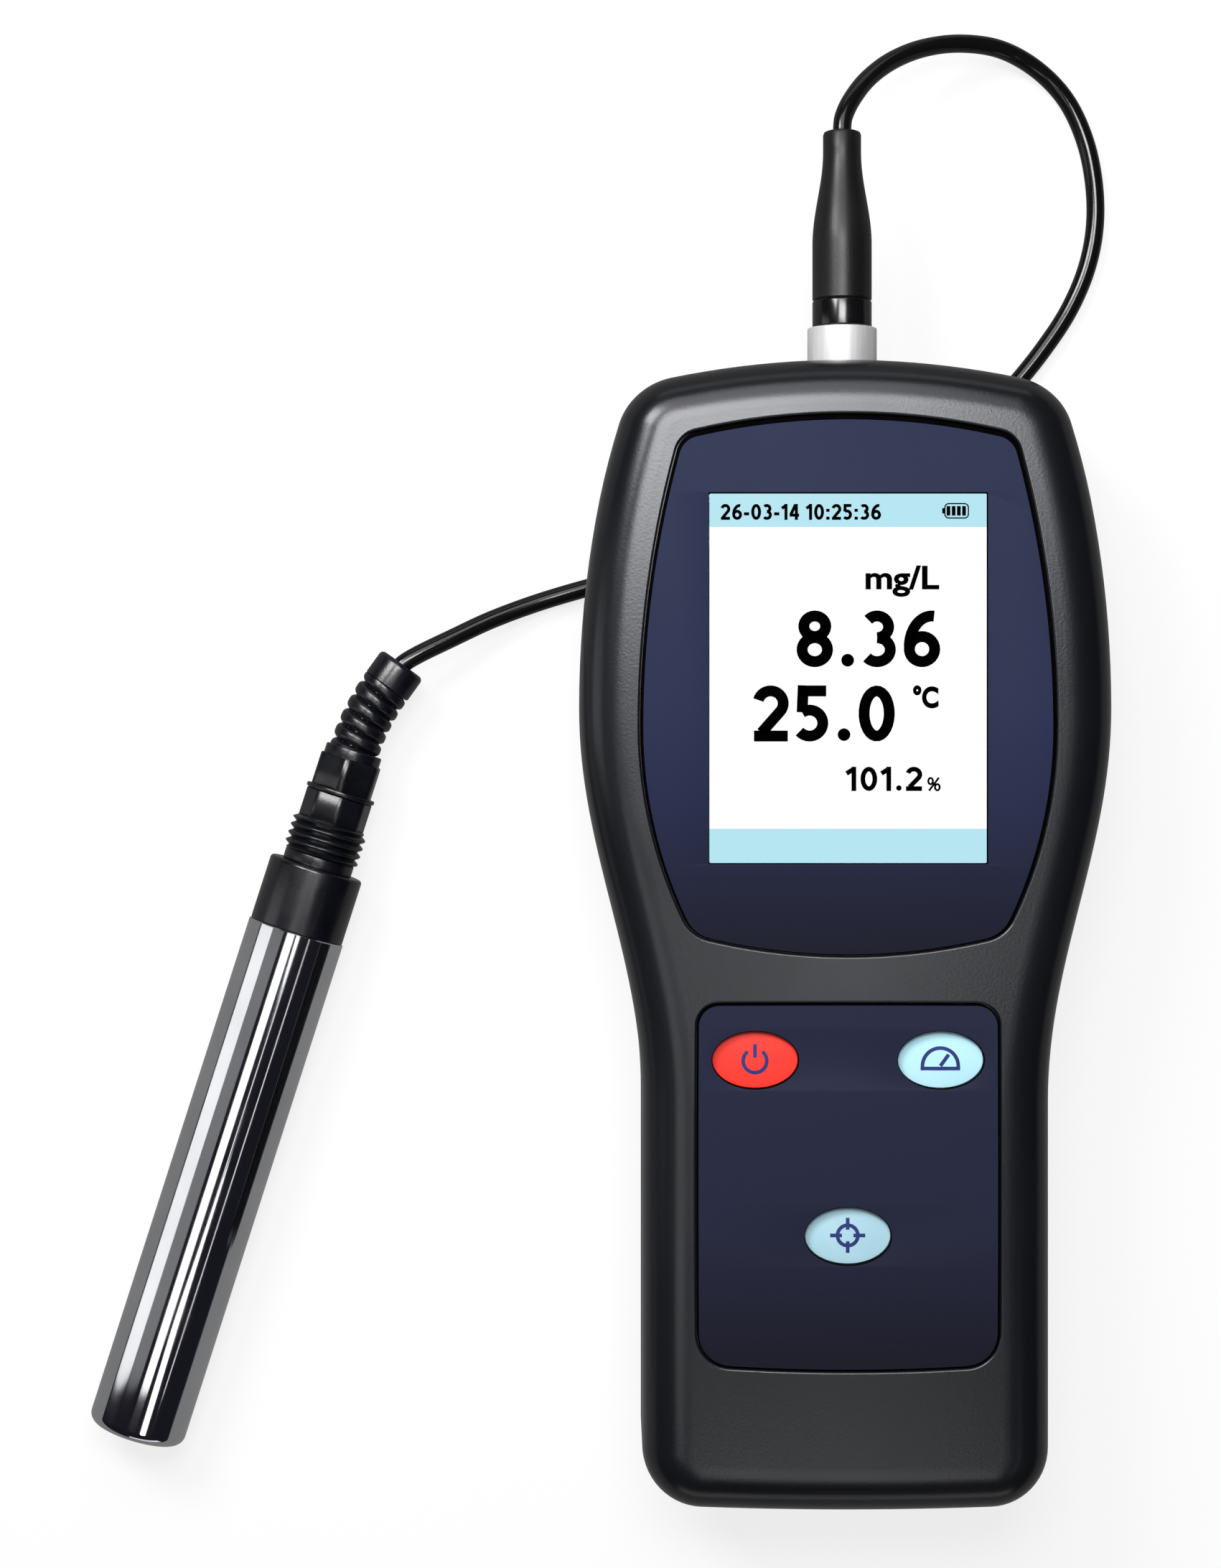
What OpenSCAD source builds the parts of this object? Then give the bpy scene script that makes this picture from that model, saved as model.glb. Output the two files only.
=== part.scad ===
// Dissolved oxygen meter: a hand-held casing with display and keys, a plug-in lead and a probe.
// The casing lies on its back with the display up (+Z) and the connector end towards +Y.
// The origin is the plan centre of the casing on its rest face. Millimetres.

/* [Casing] */
// Width of the head at its widest
head_w = 84.2; // [83:0.2:88]
// Width of the grip
grip_w = 64.2; // [63.6:0.2:67]
// Thickness from the rest face to the front face
body_t = 36; // [35.5:0.5:39]
// Wall of both shells
wall = 2.4; // [2.2:0.1:2.7]
// Thickness of the front wall
front_wall = 3.4; // [3.2:0.1:3.7]
// Height of the seam between the shells above the rest face
seam_z = 15; // [14.6:0.2:15.6]
// Thickness of the seal in the seam
seal_t = 0.6; // [0.4:0.1:0.9]
// Distance from the connector end to the widest place of the head, where the underside starts to rise
head_len = 56.6; // [54:0.2:58.6]
// Length of the waist between head and grip
waist_len = 62; // [52:1:68]
// Width of the rounded front edge
nose_w = 8.4; // [7:0.1:8.6]
// Height of the rounded front edge
nose_h = 11; // [9:0.5:12]
// Corner radius at the head
head_corner = 11; // [10:0.5:14]
// Corner radius at the grip
grip_corner = 9.6; // [9.2:0.2:12]
// Width of the rounded rear edge
rear_round = 5; // [3:0.5:6]
// Angle at which the underside rises under the head
lift_angle = 11.5; // [9:0.5:12]

/* [Display] */
// Width of the screen
screen_w = 43.2; // [40:0.2:44]
// Length of the screen
screen_len = 57.6; // [54:0.2:60]
// Width of the panel on each side of the screen
screen_side = 10.6; // [10:0.1:11.4]
// Height of the panel above the screen
screen_over = 12.1; // [11:0.1:13]
// Height of the panel below the screen
screen_under = 14.6; // [13.5:0.1:16]
// Distance from the connector end to the display panel
panel_gap = 11.2; // [10.6:0.2:12]
// Depth of both panels below the front face
panel_sink = 0.5; // [0.3:0.1:0.8]
// Thickness of both panels
panel_t = 1.5; // [1.2:0.1:1.6]
// Width of the ledge that the display panel is bonded to
ledge = 3; // [2:0.1:3.2]

/* [Keypad] */
// Width of the keypad panel
keypad_w = 47; // [46.8:0.2:47.4]
// Width of the ledge that the keypad panel is bonded to
key_ledge = 1.2; // [0.8:0.1:1.2]
// Distance from the grip end to the keypad panel
keypad_gap = 22.9; // [22:0.1:24]
// Distance between the two panels
mid_gap = 7.2; // [6:0.1:8]
// Width of an oval key
key_w = 13.3; // [11:0.1:13.5]
// Height of an oval key
key_h = 8.8; // [7:0.1:10]
// Distance between the middles of the two upper keys
key_spread = 29; // [26:0.5:29]
// Distance from the top of the keypad panel to the middles of the upper keys
key_row = 9; // [8.6:0.1:11]
// Distance between the upper keys and the lower key
key_pitch = 27.5; // [26:0.5:30]
// Distance from the middle of the lower key to the foot of the keypad panel
key_foot = 21.1; // [19:0.1:23]
// Travel of a key
key_travel = 0.7; // [0.5:0.1:0.8]

/* [Batteries] */
// Diameter of a cell
cell_d = 14.5; // [13.8:0.1:14.6]
// Length of a cell with its button
cell_len = 50.5; // [44:0.5:50.5]
// Distance from the grip end to the battery bay
bay_gap = 20; // [19.5:0.1:21]

/* [Connector] */
// Height of the connector axis above the rest face
plug_z = 22; // [21.4:0.1:22.6]
// Diameter of the socket ring
ring_d = 11.1; // [10.8:0.1:11.6]
// Length of the socket ring outside the casing
ring_len = 3.8; // [3:0.1:5]
// Diameter of the plug
plug_d = 9.5; // [9.2:0.1:10.4]
// Length of the glossy grip of the plug
grip_len = 4.3; // [3:0.1:6]
// Length of the boot behind the plug
boot_len = 27.2; // [26:0.1:27.2]
// Diameter of the boot where the cord leaves it
boot_end_d = 6.1; // [5:0.1:7]
// Number of pins
pins = 5; // [3:1:6]

/* [Probe] */
// Diameter of the probe tube
tube_d = 16; // [15.4:0.1:16]
// Length of the probe tube
tube_len = 86.7; // [80:0.1:100]
// Wall of the probe tube
tube_wall = 0.8; // [0.6:0.1:1]
// Length of the collar
collar_len = 11; // [9:0.5:14]
// Diameter of the neck behind the collar
neck_d = 11.6; // [10:0.1:12]
// Outer diameter of the thread
thread_d = 12.6; // [12.2:0.1:13.4]
// Length of the thread
thread_len = 6; // [5:0.25:9]
// Width across the flats of the gland nut
nut_w = 9.8; // [9.4:0.1:10.4]
// Diameter of the strain relief
relief_d = 8.3; // [7.8:0.1:8.8]
// Turns of the strain relief's spiral
relief_turns = 5; // [4:1:6]

/* [Hidden] */
$fn = 64;

casing_black = "#3d3e43";
panel_blue = "#2e3150";
key_blue = "#b4e2f0";
key_red = "#ff3f34";
rubber_black = "#1c1c1e";
socket_white = "#d2d0cf";
steel = "#c9cacd";
board_green = "#1e6b45";
brass = "#c8a95a";

// Places along the casing, which is as long as its two panels and the gaps round them
panel_len = screen_over + screen_len + screen_under;
panel_w = screen_w + 2 * screen_side;
keypad_len = key_row + key_pitch + key_foot;
body_len = panel_gap + panel_len + mid_gap + keypad_len + keypad_gap;
conn_y = body_len / 2;
end_y = -body_len / 2;
head_y = conn_y - head_len;
waist_y = head_y - waist_len;
front_in = body_t - front_wall;
seam_low = seam_z - seal_t / 2;
seam_high = seam_z + seal_t / 2;

// Arcs of the casing outline
flank_r = 170;
conn_r = 133;
foot_r = 600;

// Stack of the display, from the front down
panel_top = body_t - panel_sink;
panel_low = panel_top - panel_t;
panel_fit = 0.15;
window_fit = 0.2;
window_sink = 0.1;
panel_bottom = conn_y - panel_gap - panel_len;
screen_y = conn_y - panel_gap - screen_over - screen_len / 2;
panel_widest = 36;
glass_t = 1.9;
glass_rim = 1.6;
glass_low = panel_low - glass_t;
frame_t = 3.4;
frame_rim = [3.4, 5.8];
frame_low = glass_low - frame_t;
frame_skin = 0.5;
spacer_h = 5.6;
spacer_d = 4;
board_t = 1.6;
board_top = frame_low - spacer_h;
board_low = board_top - board_t;

// Keypad
keypad_bottom = end_y + keypad_gap;
keypad_top = keypad_bottom + keypad_len;
keypad_widest = 30;
key_fit = 0.25;
key_sink = 0.4;
flange_w = 0.9;
flange_t = 0.7;
flange_gap = 0.3;
flange_top = panel_low - flange_gap;
flange_low = flange_top - flange_t;
pad_gap = 0.3;
pad_top = flange_low - key_travel - pad_gap;
pad_d = 7;
mat_t = 0.8;
pad_h = 0.3;
mat_low = pad_top - pad_h - mat_t;
mat_edge = 0.5;
mat_fit = 0.1;
nub_d = 3;
nub_h = 0.8;
switch_w = 6.2;
switch_h = 3.5;
switch_gap = 0.1;
KEYS = [
    [-key_spread / 2, keypad_top - key_row],
    [key_spread / 2, keypad_top - key_row],
    [0, keypad_top - key_row - key_pitch]
];

// Screws and posts
post_d = 7;
case_screw_d = 2.9;
screw_fit = 0.05;
head_d = 5.6;
head_h = 2;
head_room = 0.2;
seat_depth = 3;
screw_grip = 9;
drive_w = 2.4;
drive_deep = 1.2;
post_root = 0.5;
head_post_gap = 1.5;
head_post_back = 21.6;
foot_post_in = 7.1;
foot_post_up = 11.6;
head_post_x = screen_w / 2 + frame_rim[0] + post_d / 2 + head_post_gap;
foot_post_x = grip_w / 2 - foot_post_in;
CASE_POSTS = [
    [head_post_x, conn_y - head_post_back], [-head_post_x, conn_y - head_post_back],
    [foot_post_x, end_y + foot_post_up], [-foot_post_x, end_y + foot_post_up]
];
boss_d = 5;
boss_gap = 0.7;
board_screw_d = 2;
board_screw_len = 5;
board_head_h = 1.3;
board_screw_up = 11;
board_screw_down = 2.7;
board_foot_in = 11.6;
board_foot_up = 20.1;
board_screw_x = screen_w / 2 + frame_rim[0] + boss_d / 2 + boss_gap;
board_foot_x = grip_w / 2 - board_foot_in;
board_up_y = screen_y + screen_len / 2 - board_screw_up;
board_down_y = screen_y - screen_len / 2 - board_screw_down;
BOARD_POSTS = [
    [board_screw_x, board_up_y], [-board_screw_x, board_up_y],
    [board_screw_x, board_down_y], [-board_screw_x, board_down_y],
    [board_foot_x, end_y + board_foot_up], [-board_foot_x, end_y + board_foot_up]
];
board_head_rim = [2.8, 5];
board_waist_rim = 5;
board_foot_rim = [3.2, 3.5];
chip_w = 12;
chip_t = 1.6;
chip_drop = 10;
buzzer_x = -12;
buzzer_d = 9;
buzzer_h = 4;
clock_x = 11;
clock_d = 12.5;
clock_h = 2;

// Battery bay
cells = 3;
cell_pitch = cell_d + 0.7;
bay_w = cells * cell_pitch;
contact_t = 0.5;
spring_len = 3.5;
spring_d = 9;
spring_wire = 0.8;
spring_plate = 10;
contact_w = 9;
button_len = 1;
button_d = 5.5;
bay_len = cell_len + spring_len + 2 * contact_t;
bay_y = end_y + bay_gap;
bay_top_y = bay_y + bay_len;
cell_rest = 0.5;
cell_room = 0.4;
cell_low = wall + cell_rest;
cell_z = cell_low + cell_d / 2;
tray_wall = 1.2;
tray_top = cell_low + cell_d + cell_room + tray_wall;
door_fit = 0.3;
door_sink = 0.5;
door_gap = 0.05;
door_top = wall - door_gap;
door_t = door_top - door_sink;
hinge_y = bay_top_y - door_fit - door_t / 2;
hinge_z = door_sink + door_t / 2;
hinge_pin_d = 1.1;
hinge_fit = 0.05;
hinge_reach = 1.2;
hinge_bore_len = 1.4;
groove_w = 18;
groove_t = 0.8;
groove_pitch = 1.8;
groove_deep = 0.4;
groove_up = 5;
door_screw_d = 2.5;
door_boss_d = 6;
door_boss_h = 6;
door_thread = 5;
door_slot = 0.6;
door_ear = 8;
ear_reach = 10;
ear_t = 1;
ear_gap = 0.1;
door_screw_out = 5.2;
door_screw_y = bay_y - door_screw_out;
door_head_d = 4.4;
door_head_t = 0.4;
door_screw_fit = 0.25;

// Connector
hole_fit = 0.1;
barrel_d = 9.5;
barrel_len = 8.2;
bore_d = 8;
nose_d = 7.8;
nose_len = 7.3;
nose_wall = 0.6;
socket_y = conn_y + 0.1;
washer_t = 0.4;
ring_y = socket_y + washer_t;
ring_end = ring_y + ring_len;
nut_t = 2.2;
socket_nut_w = 13;
nut_seat_d = 13;
nut_seat_t = 1;
nut_seat_y = conn_y - wall - nut_seat_t;
insert_t = 3.4;
insert_y = socket_y - barrel_len;
pin_d = 1;
pin_fit = 0.05;
contact_d = 1.7;
pin_circle = 2;
plug_gap = 0.1;
plug_y = ring_end + plug_gap;
boot_y = plug_y + grip_len;
boot_straight = 9;
boot_tip = 3.2;
cord_start = boot_y + boot_len;

// Probe, laid beside the casing
probe_nose = [-115.3, -83.7];
probe_lean = 17.8;
probe_z = tube_d / 2;
collar_y = tube_len;
neck_y = collar_y + collar_len;
neck_len = 1.6;
thread_y = neck_y + neck_len;
flats_y = thread_y + thread_len;
flats_len = 4.8;
flats_w = 10.4;
gland_bore = 5;
seal_ring_t = 1.2;
nut_y = flats_y + flats_len;
nut_len = 6.2;
nut_ring_d = 9.4;
nut_ring_len = 1.6;
relief_y = nut_y + nut_len + nut_ring_len;
relief_len = 11.8;
relief_bend = 18;
relief_core = 0.68;
relief_r = relief_len / (relief_bend * PI / 180);
cap_len = 4.5;
spigot_len = 9;
nose_round = 1.8;
holder_len = 14;
holder_y = 0.3;
window_d = 8;
window_deep = 2;
window_t = 1.6;
pin_place = 4.9;
pin_hole_d = 1.6;
probe_pin_y = 0.1;
probe_pin_len = 5.2;

// Route of the cord, from the boot to the relief cap
cord_d = 3;
cord_sides = 8;
ROUTE = [
    [0.3, 130, 21.6], [1.8, 133.2, 20.4], [4.6, 137, 18], [8.8, 140.6, 14.8], [14.2, 143.4, 11.2],
    [20.6, 144.9, 7.8], [27.4, 144.6, 5], [33.6, 141.8, 3], [38.6, 137, 2], [41.8, 130.6, 1.6],
    [43.4, 123.4, 1.6], [43.6, 116, 1.6], [42.2, 108.8, 1.6], [39.2, 101.8, 1.6],
    [35, 95.4, 1.6], [30.2, 89.4, 1.6], [24.4, 83, 1.6], [17.4, 77, 1.6], [9, 71.8, 1.6],
    [-0.6, 67.4, 1.6], [-10.8, 63.8, 1.6], [-21, 60.8, 1.6], [-31, 58.2, 1.6], [-40.4, 55.8, 1.8],
    [-49, 53.2, 2.8], [-56.8, 50.2, 4.6], [-63.4, 47, 6.4], [-68.6, 44.4, 7.6]
];

function heading(v) = atan2(v[1], v[0]);
function mix(a, b, t) = a + (b - a) * t;

// Points along an arc, without its last one
function arc(c, r, from, to, n) =
    [for (i = [0:n - 1]) let (a = mix(from, to, i / n)) c + r * [cos(a), sin(a)]];

// Middle of the circle that lies ra from a and rb from b, on the +Y side (1) or the -Y side (-1)
function nest(a, ra, b, rb, side) =
    let (
        l = norm(b - a),
        u = (b - a) / l,
        m = (l * l + ra * ra - rb * rb) / (2 * l),
        n = sqrt(ra * ra - m * m)
    )
    a + m * u + side * n * [-u[1], u[0]];

function mirrored(half) =
    concat(half, [for (i = [len(half) - 2:-1:1]) [-half[i][0], half[i][1]]]);

// Casing outline, d inside the outer face
function casing(d) =
    let (
        h = head_w / 2 - d,
        g = grip_w / 2 - d,
        flank_c = [head_w / 2 - flank_r, head_y],
        conn_c = [0, conn_y - conn_r],
        foot_c = [0, end_y + foot_r],
        c = nest(flank_c, flank_r - head_corner, conn_c, conn_r - head_corner, 1),
        q_x = grip_w / 2 - grip_corner,
        q = [q_x, foot_c[1] - sqrt(pow(foot_r - grip_corner, 2) - q_x * q_x)]
    )
    mirrored(concat(
        arc(foot_c, foot_r - d, -90, heading(q - foot_c), 3),
        arc(q, grip_corner - d, heading(q - foot_c), 0, 6),
        [for (i = [0:3]) [g, mix(q[1], waist_y, i / 4)]],
        [for (i = [0:9]) [mix(g, h, (1 - cos(18 * i)) / 2), waist_y + waist_len * i / 10]],
        arc(flank_c, flank_r - d, 0, heading(c - flank_c), 6),
        arc(c, head_corner - d, heading(c - flank_c), heading(c - conn_c), 6),
        arc(conn_c, conn_r - d, heading(c - conn_c), 90, 4),
        [[0, conn_y - d]]
    ));

// Barrel outline of arcs: [half width, widest y, top, bottom, upper flank, lower flank, top arc,
// bottom arc, top corner, bottom corner], d inside
function barrel(o, d, n = 6) =
    let (
        up = max(o[8], d + 0.4),
        down = max(o[9], d + 0.4),
        a = [o[0] - o[4], o[1]],
        b = [o[0] - o[5], o[1]],
        e = [0, o[2] - o[6]],
        f = [0, o[3] + o[7]],
        c = nest(a, o[4] - up, e, o[6] - up, 1),
        g = nest(b, o[5] - down, f, o[7] - down, -1)
    )
    mirrored(concat(
        arc(f, o[7] - d, -90, heading(g - f), n),
        arc(g, down - d, heading(g - f), heading(g - b), n),
        arc(b, o[5] - d, heading(g - b), 0, n),
        arc(a, o[4] - d, 0, heading(c - a), n),
        arc(c, up - d, heading(c - a), heading(c - e), n),
        arc(e, o[6] - d, heading(c - e), 90, n),
        [[0, o[2] - d]]
    ));

DISPLAY_OUTLINE = [
    panel_w / 2, panel_bottom + panel_widest, panel_bottom + panel_len, panel_bottom, 165, 60, 107, 82, 4.6, 4
];
KEYPAD_OUTLINE = [
    keypad_w / 2, keypad_bottom + keypad_widest, keypad_top, keypad_bottom, 4000, 4000, 4000, 300, 3.6, 5.5
];

function oval(w, h, d) = [for (i = [0:47]) [(w / 2 + d) * cos(7.5 * i), (h / 2 + d) * sin(7.5 * i)]];

// Height of the underside above the rest face
function underside(y) = y > head_y ? (y - head_y) * tan(lift_angle) : 0;

function level(d, z) = [for (p = casing(d)) [p[0], p[1], z]];
function rear_level(d, floor_t, t) =
    [for (p = casing(d)) [p[0], p[1], mix(underside(p[1]) + floor_t, seam_low, t)]];

// Closed skin through rings that are mirror images about X = 0, with a strip cap at both ends
module loft(rings) {
    n = len(rings[0]);
    last = n * (len(rings) - 1);
    half = n / 2;
    polyhedron(
        points = [for (r = rings) each r],
        faces = concat(
            [for (k = [0:len(rings) - 2], i = [0:n - 1])
                let (a = k * n + i, b = k * n + (i + 1) % n)
                each [[a, b + n, b], [a, a + n, b + n]]],
            [for (j = [1:half - 2]) [j, j + 1, n - j - 1, n - j]],
            [[0, 1, n - 1], [half - 1, half, half + 1]],
            [for (j = [1:half - 2]) [last + j, last + n - j, last + n - j - 1, last + j + 1]],
            [[last, last + n - 1, last + 1], [last + half - 1, last + half + 1, last + half]]
        )
    );
}

module slab(outline, low, high) {
    translate([0, 0, low]) linear_extrude(high - low) polygon(outline);
}

module rod(p, d, low, high) {
    translate([p[0], p[1], low]) cylinder(d = d, h = high - low);
}

module block(x0, x1, y0, y1, z0, z1) {
    translate([x0, y0, z0]) cube([x1 - x0, y1 - y0, z1 - z0]);
}

// Lays a piece drawn along +Z on the connector axis, from place y towards +Y
module on_axis(y) {
    translate([0, y, plug_z]) rotate([-90, 0, 0]) children();
}

// Lays a piece drawn along +Z on the hinge axis of the battery door, from x towards -X
module on_hinge(x) {
    translate([x, hinge_y, hinge_z]) rotate([0, -90, 0]) children();
}

module ring(outer, inner, h) {
    difference() {
        cylinder(d = outer, h = h);
        translate([0, 0, -1]) cylinder(d = inner, h = h + 2);
    }
}

module front_shell() {
    color(casing_black) difference() {
        union() {
            loft(concat(
                [for (a = [90:-30:0])
                    level(wall + (nose_w - wall) * (1 - cos(a)),
                        body_t - nose_h + (nose_h - front_wall) * sin(a))],
                [level(wall, seam_high), level(0, seam_high)],
                [for (a = [0:15:90])
                    level(nose_w * (1 - cos(a)), body_t - nose_h + nose_h * sin(a))]
            ));
            for (p = CASE_POSTS) rod(p, post_d, seam_high, front_in + post_root);
            for (p = BOARD_POSTS) rod(p, boss_d, board_top, front_in + post_root);
            on_axis(nut_seat_y) cylinder(d = nut_seat_d, h = nut_seat_t + post_root);
        }
        slab(barrel(DISPLAY_OUTLINE, 0), panel_low, body_t + 1);
        slab(barrel(DISPLAY_OUTLINE, ledge), front_in - 1, body_t);
        slab(barrel(KEYPAD_OUTLINE, 0), panel_low, body_t + 1);
        slab(barrel(KEYPAD_OUTLINE, key_ledge), front_in - 1, body_t);
        for (p = CASE_POSTS)
            rod(p, case_screw_d + 2 * screw_fit, seam_low - 1, seam_high + screw_grip + 1);
        for (p = BOARD_POSTS)
            rod(p, board_screw_d + 2 * screw_fit, board_low, board_top + board_screw_len + 0.5);
        on_axis(insert_y) cylinder(d = barrel_d + 2 * hole_fit, h = barrel_len + ring_len);
    }
}

module back_shell() {
    color(casing_black) difference() {
        union() {
            loft(concat(
                [for (a = [0:30:90])
                    rear_level(rear_round * (1 - sin(a)), 0, (1 - cos(a)) * 0.34)],
                [rear_level(0, 0, 1), rear_level(wall, wall, 1)],
                [rear_level(wall + 0.4, wall, 0.3), rear_level(wall + rear_round * 0.6, wall, 0)]
            ));
            for (p = CASE_POSTS) rod(p, post_d, underside(p[1]) + wall - post_root, seam_low);
            rod([0, door_screw_y], door_boss_d, wall - post_root / 2, wall + door_boss_h);
        }
        block(-bay_w / 2, bay_w / 2, bay_y, bay_top_y, -1, wall + 1);
        block(-door_ear, door_ear, bay_y - ear_reach, bay_y + 1, -1,
            door_sink + ear_t + ear_gap);
        for (p = CASE_POSTS) {
            rod(p, case_screw_d + 0.5, -1, seam_low + 1);
            rod(p, head_d + 2 * head_room, -1, underside(p[1]) + seat_depth);
        }
        rod([0, door_screw_y], door_screw_d + 2 * door_screw_fit, -1, wall + door_thread);
        on_hinge(bay_w / 2 + hinge_bore_len) cylinder(d = hinge_pin_d + 2 * hinge_fit, h = bay_w
            + 2 * hinge_bore_len);
    }
}

module seam_seal() {
    color(rubber_black) difference() {
        slab(casing(0.35), seam_low, seam_high);
        slab(casing(wall - 0.3), seam_low - 1, seam_high + 1);
    }
}

module display_panel() {
    color(panel_blue) difference() {
        slab(barrel(DISPLAY_OUTLINE, panel_fit), panel_low, panel_top);
        screen_block(window_fit / 2, panel_low - 1, panel_top + 1);
    }
}

module screen_block(d, low, high) {
    w = screen_w / 2 + d;
    l = screen_len / 2 + d;
    block(-w, w, screen_y - l, screen_y + l, low, high);
}

module display_window() {
    color("white") screen_block(0, panel_low, panel_top - window_sink);
}

module display_glass() {
    color("lightblue") screen_block(glass_rim, glass_low, panel_low);
}

module display_frame() {
    w = screen_w / 2 + frame_rim[0];
    l = screen_len / 2 + frame_rim[1];
    color("silver") difference() {
        block(-w, w, screen_y - l, screen_y + l, frame_low, glass_low);
        block(-w + frame_skin, w - frame_skin, screen_y - l + frame_skin, screen_y + l - frame_skin,
            frame_low + frame_skin, glass_low + 1);
    }
}

module backlight() {
    color("white") screen_block(frame_rim[0] - 1, frame_low + frame_skin, glass_low);
}

module display_spacers() {
    color(brass)
        for (x = [-1, 1], y = [-1, 1])
            rod([x * screen_w / 2, screen_y + y * screen_len / 2], spacer_d, board_top, frame_low);
}

module keypad_panel() {
    color(panel_blue) difference() {
        slab(barrel(KEYPAD_OUTLINE, panel_fit), panel_low, panel_top);
        for (p = KEYS)
            translate([p[0], p[1], 0]) slab(oval(key_w, key_h, key_fit), panel_low - 1, panel_top + 1);
    }
}

module key_cap(p, shade) {
    color(shade) translate([p[0], p[1], 0]) {
        slab(oval(key_w, key_h, 0), flange_top, panel_top - key_sink);
        slab(oval(key_w, key_h, flange_w), flange_low, flange_top);
    }
}

module key_mat() {
    color("#8a8d92") union() {
        slab(barrel(KEYPAD_OUTLINE, mat_edge), mat_low, mat_low + mat_t);
        difference() {
            slab(barrel(KEYPAD_OUTLINE, mat_edge), mat_low + mat_t, front_in);
            slab(barrel(KEYPAD_OUTLINE, key_ledge + mat_fit), mat_low, front_in + 1);
        }
        for (p = KEYS) {
            rod(p, pad_d, mat_low + mat_t, pad_top);
            rod(p, nub_d, mat_low - nub_h, mat_low);
        }
    }
}

module key_switches() {
    color("#303236")
        for (p = KEYS) {
            block(p[0] - switch_w / 2, p[0] + switch_w / 2, p[1] - switch_w / 2, p[1] + switch_w / 2,
                board_top, board_top + switch_h);
            rod(p, nub_d, board_top + switch_h, mat_low - nub_h - switch_gap);
        }
}

module main_board() {
    head = BOARD_POSTS[0] + board_head_rim;
    waist = BOARD_POSTS[2] - [0, board_waist_rim];
    foot = BOARD_POSTS[4] + [board_foot_rim[0], -board_foot_rim[1]];
    color(board_green) difference() {
        slab([
            [-foot[0], foot[1]], [foot[0], foot[1]], [foot[0], waist[1]], [head[0], waist[1]],
            head, [-head[0], head[1]], [-head[0], waist[1]], [-foot[0], waist[1]]
        ], board_low, board_top);
        for (p = BOARD_POSTS) rod(p, board_screw_d + 0.4, board_low - 1, board_top + 1);
    }
}

module main_chip() {
    color("#202124")
        block(-chip_w / 2, chip_w / 2, screen_y - chip_drop - chip_w / 2,
            screen_y - chip_drop + chip_w / 2, board_top, board_top + chip_t);
}

module buzzer() {
    color("#18191b") rod([buzzer_x, panel_bottom], buzzer_d, board_top, board_top + buzzer_h);
}

module clock_cell() {
    color("silver") rod([clock_x, panel_bottom], clock_d, board_top, board_top + clock_h);
}

module board_screws() {
    color("silver")
        for (p = BOARD_POSTS) {
            rod(p, board_screw_d, board_low, board_top + board_screw_len);
            rod(p, board_screw_d * 1.8, board_low - board_head_h, board_low);
        }
}

module case_screws() {
    color("silver")
        for (p = CASE_POSTS) {
            seat = underside(p[1]) + seat_depth;
            rod(p, case_screw_d, seat, seam_high + screw_grip);
            difference() {
                rod(p, head_d, seat - head_h, seat);
                rod(p, drive_w, seat - head_h - 1, seat - head_h + drive_deep, $fn = 6);
            }
        }
}

module battery_tray() {
    w = bay_w / 2;
    t = tray_wall;
    color("#2b2c30") difference() {
        block(-w - t, w + t, bay_y - t, bay_top_y + t, wall, tray_top);
        block(-w, w, bay_y, bay_top_y, wall - 1, tray_top - t);
    }
}

// Places what sits in the bay for each cell, turned end for end for every other one
module per_cell() {
    for (i = [0:cells - 1])
        translate([(i - (cells - 1) / 2) * cell_pitch, bay_y + bay_len / 2, cell_z])
            rotate([0, 0, 180 * (i % 2)]) translate([0, -bay_len / 2, 0]) rotate([-90, 0, 0]) children();
}

module batteries() {
    color("#2f6fb0") per_cell() translate([0, 0, contact_t + spring_len]) {
        cylinder(d = cell_d, h = cell_len - button_len);
        cylinder(d = button_d, h = cell_len);
    }
}

module battery_springs() {
    wire = spring_wire;
    color("silver") per_cell() {
        translate([-spring_plate / 2, -spring_plate / 2, 0]) cube([spring_plate, spring_plate, contact_t]);
        for (i = [0:3])
            translate([0, 0, contact_t + i * wire])
                ring(spring_d - i * wire, spring_d - (i + 2.4) * wire, wire);
        translate([0, 0, contact_t + 3.9 * wire])
            ring(spring_d - 3 * wire, spring_d - 5.4 * wire, spring_len - 3.9 * wire);
    }
}

module battery_contacts() {
    color(brass) per_cell()
        translate([-contact_w / 2, -contact_w / 2, bay_len - contact_t])
            cube([contact_w, contact_w, contact_t]);
}

module battery_door() {
    w = bay_w / 2 - door_fit;
    pin = bay_w / 2 + hinge_reach;
    color(casing_black) difference() {
        union() {
            block(-w, w, bay_y + door_fit, hinge_y, door_sink, door_top);
            on_hinge(w) cylinder(d = door_t, h = 2 * w);
            on_hinge(pin) cylinder(d = hinge_pin_d, h = 2 * pin);
            block(-door_ear + door_fit, door_ear - door_fit, bay_y - ear_reach + door_fit,
                bay_y + 1, door_sink, door_sink + ear_t);
        }
        for (i = [0:4])
            translate([0, bay_y + groove_up + groove_pitch * i, 0])
                block(-groove_w / 2, groove_w / 2, 0, groove_t, door_sink - 1, door_sink + groove_deep);
        rod([0, door_screw_y], door_screw_d + 2 * door_screw_fit, -1, wall);
    }
}

module door_screw() {
    color("silver") {
        rod([0, door_screw_y], door_screw_d, door_sink, wall + 2);
        difference() {
            rod([0, door_screw_y], door_head_d, door_sink - door_head_t, door_sink);
            block(-door_head_d, door_head_d, door_screw_y - door_slot / 2,
                door_screw_y + door_slot / 2, -1, door_sink - door_head_t / 2);
        }
    }
}

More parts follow.
